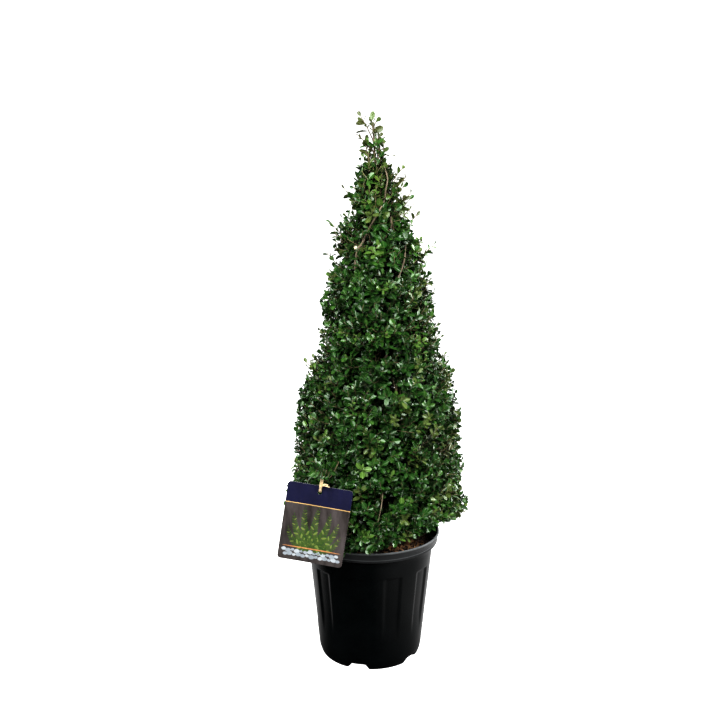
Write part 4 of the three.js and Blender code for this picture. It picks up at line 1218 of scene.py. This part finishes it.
def leafy_shoots(
    growth, root, bend, tip, tint, reach=None, scale=1.0, spacing=LEAF_SPACING, many=LEAVES_ON_SHOOT
):
    """Curved twigs with leaves by turns along their outer ends. reach is how far out a leaf tip may go."""
    count = len(tip)
    growth.add_twigs(bend_lines(root, bend, tip, TWIG_RINGS), TWIG_RADIUS, TWIG_TAPER)
    length = np.linalg.norm(tip - bend, axis=1) + np.linalg.norm(bend - root, axis=1)
    phase = random.uniform(0, FULL_TURN, count)
    for k in range(many):
        stagger = random.uniform(-LEAF_SPACING_SPREAD, LEAF_SPACING_SPREAD, count)
        t = 1 - (FIRST_LEAF + spacing * (k + stagger)) * scale / length
        at = bend_line(root, bend, tip, t[:, None])[:, 0]
        tangent = unit((1 - t)[:, None] * (bend - root) + t[:, None] * (tip - bend))
        guide = unit(np.cross(tangent, SHOOT_GUIDE))
        other = np.cross(tangent, guide)
        turn = phase + k * GOLDEN_ANGLE
        radial = guide * np.cos(turn)[:, None] + other * np.sin(turn)[:, None]
        lean = LEAF_LEAN + LEAF_LEAN_MORE * min(k / LEAF_LEAN_AFTER, 1)
        lean = (lean + random.uniform(*LEAF_LEAN_SPREAD, count))[:, None]
        along = unit(np.cos(lean) * tangent + np.sin(lean) * radial)
        light = outward(np.arctan2(at[:, 0], -at[:, 1])) * LIGHT_OUTWARD + UP * LIGHT_UP
        face = tangent * FACE_ALONG + light * FACE_LIGHT + random.normal(0, FACE_SPREAD, (count, 3))
        grown = LEAF_AT_TIP + (1 - LEAF_AT_TIP) * min(k / LEAF_GROWN_AFTER, 1)
        size = LEAF_LENGTH * scale * grown * random.uniform(*LEAF_SIZES, count)
        end = at + along * size[:, None]
        kept = (t > BARE_SHARE) & clear_of_tag(end) & clear_of_tag(at)
        kept &= clear_of_stems((at + 2 * end) / 3)
        if reach is not None:
            away = np.linalg.norm((end - crown_axis(end[:, 2]))[:, :2], axis=1)
            kept &= (away < reach + LEAF_SLACK) & (end[:, 2] > crown_floor(end))
        is_fresher = (random.uniform(size=count) < FRESHER_SHARE) & (tint < YOUNG) & (k < FRESHER_LEAVES)
        growth.add_leaves(at[kept], along[kept], face[kept], size[kept], (tint + is_fresher)[kept])


# Growth

def branch_ends():
    """The branches' starts at the boughs' tips, bends, ends below the surface, and masses."""
    angle, z = crown_sites(BRANCHES)
    z = lifted(angle, np.maximum(z, CROWN_BOTTOM + BRANCH_LOWEST))
    depth = np.minimum(BRANCH_DEPTH, BRANCH_DEPTH_SHARE * crown_radius(z))
    depth = depth * random.uniform(*BRANCH_DEPTH_SPREAD, BRANCHES)
    end = crown_axis(z) + outward(angle) * (crown_radius(z) - depth)[:, None]
    mass = own_mass(end)
    start = BOUGH_TIP[mass] - BOUGH_HEADING[mass] * BRANCH_SEAT
    away = np.linalg.norm(end - start, axis=1)[:, None]
    wander = random.normal(0, BRANCH_WANDER, (BRANCHES, 3))
    return start, start + BOUGH_HEADING[mass] * BRANCH_BEND_SHARE * away + wander, end, mass


def tint_of_sprays(angle, z, inset):
    """Each spray's tint, shaded to light, darker the deeper it lies as painted shade; some are olive, more
    of them on the right, where the extra olive is painted light shining through from behind.
    """
    lot = random.uniform(size=len(z)) + TINT_BY_DEPTH * (TINT_MIDDLE_DEPTH - inset / SHOOT_INSET)
    high = np.clip((z - TINT_HEIGHT) / TINT_FADE, 0, 1)
    limits = TINT_LIMITS - TINT_LIMIT_DROPS * high[:, None]
    # Painted back light: more olive sprays on the right
    olive = OLIVE_SHARE + OLIVE_MORE_RIGHT * np.clip(np.sin(angle), 0, 1) + OLIVE_MORE_HIGH * high
    is_olive = (random.uniform(size=len(z)) < olive) & (inset < SHOOT_INSET / 2)
    return np.where(is_olive, OLIVE, (lot[:, None] > limits).sum(axis=1))


def grow_crown(growth):
    """Branches from the boughs' tips, and the leafy shoots that make the clipped surface."""
    start, bend, end, branch_mass = branch_ends()
    growth.add_branches(bend_lines(start, bend, end, BRANCH_RINGS), BRANCH_RADIUS, BRANCH_TAPER)

    for count, depth, is_inner in ((SHOOTS, 0.0, False), (INNER_SHOOTS, INNER_DEPTH, True)):
        angle, z = crown_sites(count)
        z = np.clip(z + random.normal(0, SHOOT_WANDER, count), CROWN_BOTTOM + SHOOT_WANDER, None)
        airy = np.clip((z - AIRY_HEIGHT) / AIRY_FADE, 0, 1)
        openness = INNER_OPEN_SHARE if is_inner else OPEN_SHARE + OPEN_MORE_RIGHT * np.sin(angle)
        kept = random.uniform(size=count) > airy * openness
        kept &= gaps(angle, z) > GAP_LEVEL
        angle, z, airy = angle[kept], z[kept], airy[kept]
        count = len(z)
        full = crown_radius(z)
        reach = full * (1 + TUFT_SHARE * tufted(angle, z))
        inset = depth * random.uniform(*INNER_DEPTH_SPREAD, count)
        inset = inset + SHOOT_INSET * random.uniform(size=count) ** SHOOT_INSET_POWER
        out = reach - np.minimum(inset, SHOOT_DEEPEST * full)
        tip = crown_axis(lifted(angle, z)) + outward(angle) * out[:, None]
        climb = SHOOT_CLIMB * np.clip((z - CROWN_BOTTOM) / SKIRT_HEIGHT, 0, 1)
        climb = climb + random.uniform(-SHOOT_SWING, SHOOT_SWING, count)
        swing = random.uniform(-SHOOT_SWING, SHOOT_SWING, count)
        heading = unit(outward(angle + swing) + UP * climb[:, None])
        scale = 1 + LARGER_HIGH * airy
        is_foreign = own_mass(tip)[:, None] != branch_mass[None]
        branch = np.argmin(np.linalg.norm(tip[:, None] - end[None], axis=2) + is_foreign, axis=1)
        t = random.uniform(*SHOOT_SEAT, count)
        root = bend_line(start[branch], bend[branch], end[branch], t[:, None])[:, 0]
        elbow = tip - heading * (SHOOT_LENGTH * scale * SHOOT_BEND_SHARE)[:, None]
        tint = np.full(count, SHADED) if is_inner else tint_of_sprays(angle, z, inset)
        leafy_shoots(growth, root, elbow, tip, tint, reach, scale * (INNER_SCALE if is_inner else 1))


def grow_strays(growth):
    """Shoots that grew on past the clipped surface, and the sprig over the rim."""
    degrees, z, past = np.array(STRAY_SHOOTS).T
    out = outward(np.radians(degrees))
    tip = crown_axis(z) + out * (crown_radius(z) + past)[:, None]
    elbow = tip - unit(out + UP * STRAY_CLIMB) * STRAY_LENGTH
    root = crown_axis(z - STRAY_LENGTH) + out * (crown_radius(z) * STRAY_SEAT_SHARE)[:, None]
    leafy_shoots(growth, root, elbow, tip, np.resize(STRAY_TINTS, len(z)), **STRAY_LEAVES)
    sprig = [np.array([point]) for point in RIM_SPRIG]
    leafy_shoots(growth, *sprig, np.array([LIGHT]), **RIM_SPRIG_LEAVES)


def grow_crest(growth):
    """Upright shoots round the leader's foot."""
    low, high = CREST_REACH[0][0], CREST_REACH[-1][0]
    share = (np.arange(CREST_SHOOTS) + 0.5) / CREST_SHOOTS
    out = outward(np.arange(CREST_SHOOTS) * GOLDEN_ANGLE)
    z = low + (high - low) * share**CREST_CROWDING
    reach = np.interp(z, *np.array(CREST_REACH).T) * np.sqrt(random.uniform(CREST_INNER, 1, CREST_SHOOTS))
    tip = crown_axis(z) + out * reach[:, None]
    seat = np.minimum(z - random.uniform(*CREST_LENGTHS, CREST_SHOOTS), TRUNK_LINE[-1][2] - CREST_SEAT)
    root = trunk_point(seat)
    bend = (root + tip) / 2 + out * (CREST_BOW * reach)[:, None]
    tint = random.choice(list(CREST_TINTS), CREST_SHOOTS, p=list(CREST_TINTS.values()))
    leafy_shoots(growth, root, bend, tip, tint, **CREST_LEAVES)


def grow_leader(growth):
    """The open leader: a stem, its shoots, and single leaves set by turns along them."""
    root, top = np.array(TRUNK_LINE[-1]), np.array(LEADER_TOP)
    stem = root + (top - root) * np.linspace(0, 1, LEADER_RINGS)[:, None]
    growth.add_branches(stem[None], TRUNK_TIP_RADIUS, LEADER_TAPER)
    starts = np.array([root + (top - root) * min(share, LEADER_LAST_SEAT) for share, _ in LEADER_TIPS])
    tips = np.array([tip for _, tip in LEADER_TIPS])
    ends = tips - unit(tips - starts) * LEADER_LEAF_ROOM
    elbows = (starts + ends) / 2 + (top - root) * LEADER_LIFT
    leafy_shoots(growth, starts, elbows, ends, np.resize(LEADER_TINTS, len(tips)), **LEADER_LEAVES)


def grow_hanger(growth):
    """The twig that the tag's tie goes round, and the leafy shoots in front of it."""
    through = Vector(TIE_CENTRE) + Vector((0, HANGER_LIFT, 0))

    def placed(spots):
        return np.array([TAG_PLACE @ (through + Vector(spot)) for spot in spots])

    places = placed(HANGER_LINE)
    twig = smooth_line([MASS_CENTRE[own_mass(places)[0]], *places], HANGER_RINGS)
    growth.add_twigs(twig[None], HANGER_RADIUS, HANGER_TAPER)
    bends = placed([(x, *HANGER_BEND) for x in HANGER_SHOOTS])
    tips = placed([(x, *HANGER_TIP) for x in HANGER_SHOOTS])
    roots = np.resize(places[0], tips.shape)
    leafy_shoots(growth, roots, bends, tips, np.resize(HANGER_TINTS, len(tips)), **HANGER_LEAVES)


def make_foliage(twig_bark, branch_bark):
    """All that grows on from the boughs: leaves by tint in pieces of their own, twigs and branches."""
    growth = Growth()
    for grow in (grow_crown, grow_strays, grow_crest, grow_leader, grow_hanger):
        grow(growth)

    root, along, face, length, tint = (np.concatenate(kind) for kind in zip(*growth.leaves))
    width = length * LEAF_WIDTH_SHARE * random.uniform(*LEAF_WIDTH_SPREAD, len(length))
    for k, (name, green, paler) in enumerate(TINTS):
        material = leaf_material(f"leaf_{name}", green, paler)
        slot = "young_leaves" if k in YOUNG_TINTS else "leaves"
        chosen = np.flatnonzero(tint == k)
        shares = max(1, math.ceil(len(chosen) * LEAF_TRIANGLES / MOST_TRIANGLES))
        for n, part in enumerate(np.array_split(chosen, shares), 1):
            made = blades(root[part], along[part], face[part], length[part], width[part])
            points, triangles, blade_map = made
            joined_piece(f"leaves_{name}_{n}", points, triangles, material, slot, FOLIAGE_NODES, blade_map)
    joined_piece("twigs", *joined(growth.twigs), twig_bark, "bark", FOLIAGE_NODES)
    joined_piece("branches", *joined(growth.branches), branch_bark, "bark", FOLIAGE_NODES)


def make_dry_leaves(litter):
    """Brown leaves fallen on the soil, most of them where the skirt is lifted."""
    half = DRY_LEAVES // 2
    gathered = random.normal(LIFT_ANGLE, DRY_LEAF_SPREAD, half)
    angle = np.concatenate([gathered, random.uniform(0, FULL_TURN, half)])
    count = len(angle)
    radius = random.uniform(*DRY_LEAF_RADII, count)
    root = on_soil(radius * np.sin(angle), -radius * np.cos(angle), DRY_LEAF_LIFT)
    level = random.normal(size=(count, 2))
    along = unit(np.concatenate([level, random.uniform(0, DRY_LEAF_TILT, (count, 1))], 1))
    face = UP + random.normal(0, DRY_LEAF_TILT, (count, 3))
    length = LEAF_LENGTH * random.uniform(*DRY_LEAF_SIZES, count)
    points, triangles, blade_map = blades(root, along, face, length, DRY_LEAF_WIDTH_SHARE * length)
    return joined_piece("dry_leaves", points, triangles, litter, "soil", ["soil"], blade_map)


# Hang tag

def verts_of(geometry):
    return [item for item in geometry if isinstance(item, bmesh.types.BMVert)]


def printed_spot(bm, centre, radii, turn, ink, layer):
    """A flat ellipse of ink, a hair proud of the card."""
    spot = bmesh.ops.create_circle(bm, cap_ends=True, segments=SPOT_SIDES, radius=1)["verts"]
    place = Matrix.Translation((*centre, TAG_THICKNESS - INK)) @ Matrix.Rotation(turn, 4, "Z")
    bmesh.ops.transform(bm, matrix=place @ Matrix.Diagonal((*radii, 1, 1)), verts=spot)
    base = spot[0].link_faces[0]
    raised = verts_of(bmesh.ops.extrude_face_region(bm, geom=[base], use_keep_orig=True)["geom"])
    bmesh.ops.translate(bm, vec=(0, 0, INK * (2 + layer)), verts=raised)
    for vert in spot + raised:
        for face in vert.link_faces:
            face.material_index = ink


def print_frond(bm, root, tip, bow, pairs, size):
    """A stalk with many pairs of narrow leaves, the last one at its tip."""
    root, tip = Vector(root), Vector(tip)
    across = (tip - root).orthogonal().normalized()
    for k in range(pairs + 1):
        share = k / pairs
        at = root.lerp(tip, share) + across * (4 * bow * share * (1 - share))
        way = (tip - root) + across * (4 * bow * (1 - 2 * share))
        heading = math.atan2(way.y, way.x)
        reach = size * (FROND_LEAF_LARGEST - FROND_LEAF_TAPER * share)
        if k < pairs:
            stalk = (way.length / pairs * STALK_OVERLAP, STALK_HALF_WIDTH)
            printed_spot(bm, at + way / pairs / 2, stalk, heading, STALK, 0)
        for side in (1, -1) if k < pairs else (0,):
            turn = heading + side * FROND_LEAF_TURN
            spot = at + Vector((math.cos(turn), math.sin(turn))) * reach
            ink = FROND_INKS[(3 * k + side) % 4]
            printed_spot(bm, spot, (reach, reach * FROND_LEAF_WIDTH), turn, ink, 1 + k % 3)


def print_card(bm):
    """A plain print of a fern over a bed of pebbles."""
    for frond in FRONDS:
        print_frond(bm, *frond)
    for k in range(PEBBLE_ROWS * PEBBLES_IN_ROW):
        row, place = divmod(k, PEBBLES_IN_ROW)
        x = FIRST_PEBBLE[0] + PEBBLE_STEP[0] * place + PEBBLE_ROW_SHIFT * row
        y = FIRST_PEBBLE[1] + PEBBLE_STEP[1] * row + PEBBLE_WOBBLE * math.cos(3.1 * k)
        size = PEBBLE_SIZE + PEBBLE_WOBBLE * math.sin(2.4 * k)
        ink = PEBBLE_INKS[(k * k) % 3]
        printed_spot(bm, (x, y), (size * 1.1, size * 0.8), 0.2 * math.sin(k), ink, k % 3)
    printed_spot(bm, *COPPER_LINE, 0, COPPER, 4)


def header_ink(y):
    return NAVY if y > HEADER_BOTTOM else GOLD if y > HEADER_BOTTOM - GOLD_LINE else SLATE


def make_tag(inks):
    """A card with round corners and a hole, cut into strips so that it can bow, with its print."""
    bm = bmesh.new()
    w, h = TAG_WIDTH / 2, TAG_HEIGHT / 2
    card = bm.faces.new([bm.verts.new((x, y, 0)) for x, y in ((-w, -h), (w, -h), (w, h), (-w, h))])
    bmesh.ops.bevel(
        bm,
        geom=card.verts[:],
        offset=TAG_CORNER,
        offset_type="OFFSET",
        affect="VERTICES",
        segments=TAG_CORNER_STEPS,
        profile=0.5,
        material=-1,
    )
    bmesh.ops.delete(bm, geom=bm.faces[:], context="FACES_ONLY")
    hole = bmesh.ops.create_circle(bm, segments=TAG_HOLE_SIDES, radius=TAG_HOLE_RADIUS)["verts"]
    bmesh.ops.translate(bm, vec=(0, TAG_HOLE_HEIGHT, 0), verts=hole)
    bmesh.ops.triangle_fill(bm, edges=bm.edges[:], use_beauty=True, normal=UP)
    across, along = TAG_STRIPS
    heights = (HEADER_BOTTOM, HEADER_BOTTOM - GOLD_LINE, *np.linspace(-h, h, along + 1)[1:-1])
    cuts = [((0, y, 0), (0, 1, 0)) for y in heights]
    cuts += [((x, 0, 0), (1, 0, 0)) for x in np.linspace(-w, w, across + 1)[1:-1]]
    for at, way in cuts:
        whole = bm.verts[:] + bm.edges[:] + bm.faces[:]
        bmesh.ops.bisect_plane(bm, geom=whole, dist=SAME_POINT, plane_co=at, plane_no=way)
    for face in bm.faces:
        face.material_index = header_ink(face.calc_center_median().y)
    front = bmesh.ops.extrude_face_region(bm, geom=bm.faces[:], use_keep_orig=True)["geom"]
    bmesh.ops.translate(bm, vec=(0, 0, TAG_THICKNESS), verts=verts_of(front))
    for face in bm.faces:
        if face.calc_center_median().z < TAG_THICKNESS * 0.9:
            face.material_index = CARD_BACK
    print_card(bm)
    bmesh.ops.recalc_face_normals(bm, faces=bm.faces)
    for vert in bm.verts:
        vert.co.z += TAG_BOW * ((vert.co.x / w) ** 2 - (vert.co.y / h) ** 2 * TAG_BOW_BACK)
    bmesh.ops.transform(bm, matrix=TAG_PLACE, verts=bm.verts)
    return piece_from(bm, "tag_card", inks, ["tag"])


def tie_strand(sideways, wider):
    """Points of one strand round the raffia loop, in the tag's frame."""
    height, depth = TIE_LENGTH / 2 + wider, TIE_WIDTH / 2 + wider
    turns = np.linspace(TIE_START, FULL_TURN + TIE_START, TIE_POINTS)
    steps = [Vector((sideways, math.sin(t) * height, math.cos(t) * depth)) for t in turns]
    return [Vector(TIE_CENTRE) + step for step in steps]


def make_tie(raffia):
    """A raffia loop of three strands, knotted in front of the tag's top edge, with two loose ends."""
    strands = []
    for k in range(TIE_STRANDS):
        strands.append((tie_strand(TIE_STRAND_GAP * (k - 1), TIE_STRAND_STEP * (k % 2)), TIE_STRAND_RADIUS))
    coil = [
        KNOT + Vector((COIL_RADIUS * math.cos(t), COIL_RISE * t - COIL_DROP, COIL_RADIUS * math.sin(t)))
        for t in np.linspace(0, COIL_TURNS * FULL_TURN, COIL_POINTS)
    ]
    strands.append((coil, COIL_STRAND_RADIUS))
    for side, rise in LOOSE_ENDS:
        middle = KNOT + Vector((side * 0.5, rise + 0.001, 0.002))
        strands.append(([KNOT, middle, KNOT + Vector((side, rise, 0.0015))], LOOSE_END_RADIUS))
    bm = bmesh.new()
    for line, radius in strands:
        placed = smooth_line([TAG_PLACE @ point for point in line], max(16, len(line)))
        lumps = 1 + RAFFIA_LUMPS * np.sin(np.linspace(0, RAFFIA_LUMP_TURNS, len(placed)))
        limb_into(bm, placed, radius * lumps, RAFFIA_SIDES, RAFFIA_RELIEF)
    return limbs_piece(bm, "tag_raffia", [raffia], ["tag_tie"])


# Studio

def pale_floor_material():
    """Matt white paint that glows evenly to the eye; to glossy rays it is black with a painted reflection, a
    glow darker in front than at the right and behind.
    """
    material, tree, shader = new_material("floor_paint")
    place = object_place(tree)
    axes = axes_of(tree, place)
    seen = put(tree, "ShaderNodeLightPath").outputs
    # Painted reflection: glossy rays see a glow, dim in front, brighter at the right and behind
    front = ranged(tree, axes["X"], *MIRROR_RIGHT_SPAN, MIRRORED_FRONT, MIRRORED_RIGHT)
    bright = ranged(tree, axes["Y"], *MIRROR_BACK_SPAN, front, MIRRORED_BACK)
    mirrored = reckoned(tree, "MULTIPLY", seen["Is Glossy Ray"], bright)
    glow = ranged(tree, seen["Is Camera Ray"], 0.0, 1.0, 0.0, FLOOR_GLOW)
    finish = {
        "Base Color": mixed(tree, seen["Is Glossy Ray"], rgb(*FLOOR_PAINT), rgb(0, 0, 0)),
        "Roughness": ranged(tree, clouded(tree, place, 3.0, 3.0), 0.0, 1.0, *FLOOR_ROUGHNESS),
        "Specular IOR Level": FLOOR_SPECULAR,
        "Emission Color": rgb(1, 1, 1),
        "Emission Strength": reckoned(tree, "ADD", glow, mirrored),
    }
    fill(tree, shader, finish)
    return material


def make_world():
    """White walls at the sides and behind, darker towards the camera, and a plain white backdrop in view."""
    world = bpy.data.worlds.new("studio")
    world.use_nodes = True
    tree = world.node_tree
    tree.nodes.clear()
    way = put(tree, "ShaderNodeTexCoord").outputs["Generated"]
    walls = ranged(tree, axes_of(tree, way)["Y"], *WALL_LIGHT_SPAN, WALL_LIGHT_FRONT, WALL_LIGHT_BACK)
    sky = put(tree, "ShaderNodeBackground", {"Color": rgb(1, 1, 1), "Strength": walls})
    backdrop = put(tree, "ShaderNodeBackground", {"Color": rgb(1, 1, 1), "Strength": 1.0})
    in_view = put(tree, "ShaderNodeLightPath").outputs["Is Camera Ray"]
    choice = put(tree, "ShaderNodeMixShader", {0: in_view, 1: sky.outputs[0], 2: backdrop.outputs[0]})
    put(tree, "ShaderNodeOutputWorld", {"Surface": choice.outputs[0]})
    bpy.context.scene.world = world


def make_camera(scene):
    lens = bpy.data.cameras.new("camera")
    lens.lens = CAMERA_LENS
    lens.sensor_width = CAMERA_SENSOR
    camera = bpy.data.objects.new("camera", lens)
    camera.location = CAMERA_PLACE
    camera.rotation_euler = (CAMERA_TILT, 0, 0)
    scene.collection.objects.link(camera)
    scene.camera = camera


def make_floor(scene):
    bm = bmesh.new()
    bmesh.ops.create_circle(bm, cap_ends=True, segments=FLOOR_SIDES, radius=FLOOR_RADIUS)
    mesh = bpy.data.meshes.new("floor")
    bm.to_mesh(mesh)
    bm.free()
    mesh.materials.append(pale_floor_material())
    floor = bpy.data.objects.new("floor", mesh)
    scene.collection.objects.link(floor)


def make_lamps(scene):
    for name, place, aim, size, power in SOFTBOXES:
        light = bpy.data.lights.new(name, "AREA")
        light.shape = "RECTANGLE"
        light.size, light.size_y = size
        light.energy = power
        lamp = bpy.data.objects.new(name, light)
        lamp.location = place
        lamp.rotation_euler = (Vector(aim) - Vector(place)).to_track_quat("-Z", "Y").to_euler()
        scene.collection.objects.link(lamp)


def make_studio():
    scene = bpy.context.scene
    scene.view_settings.view_transform = "Standard"
    scene.view_settings.exposure = EXPOSURE
    scene.view_settings.gamma = GAMMA
    make_camera(scene)
    make_floor(scene)
    make_world()
    make_lamps(scene)


make_studio()
finish = {name: mottled_material(name, *values) for name, values in FINISHES.items()}
bark = finish["grey_bark"]
make_pot(pot_plastic_material())
make_soil(finish["potting_soil"])
make_crumbs(finish["bark_chips"])
make_dry_leaves(finish["dry_leaf"])
make_trunk(bark)
make_boughs(bark)
make_open_stems(bark, finish["cut_wood"])
make_foliage(finish["twig_bark"], bark)
make_tag([mottled_material(name, dark, light, *CARD_COATING) for name, dark, light in INKS])
make_tie(finish["raffia"])
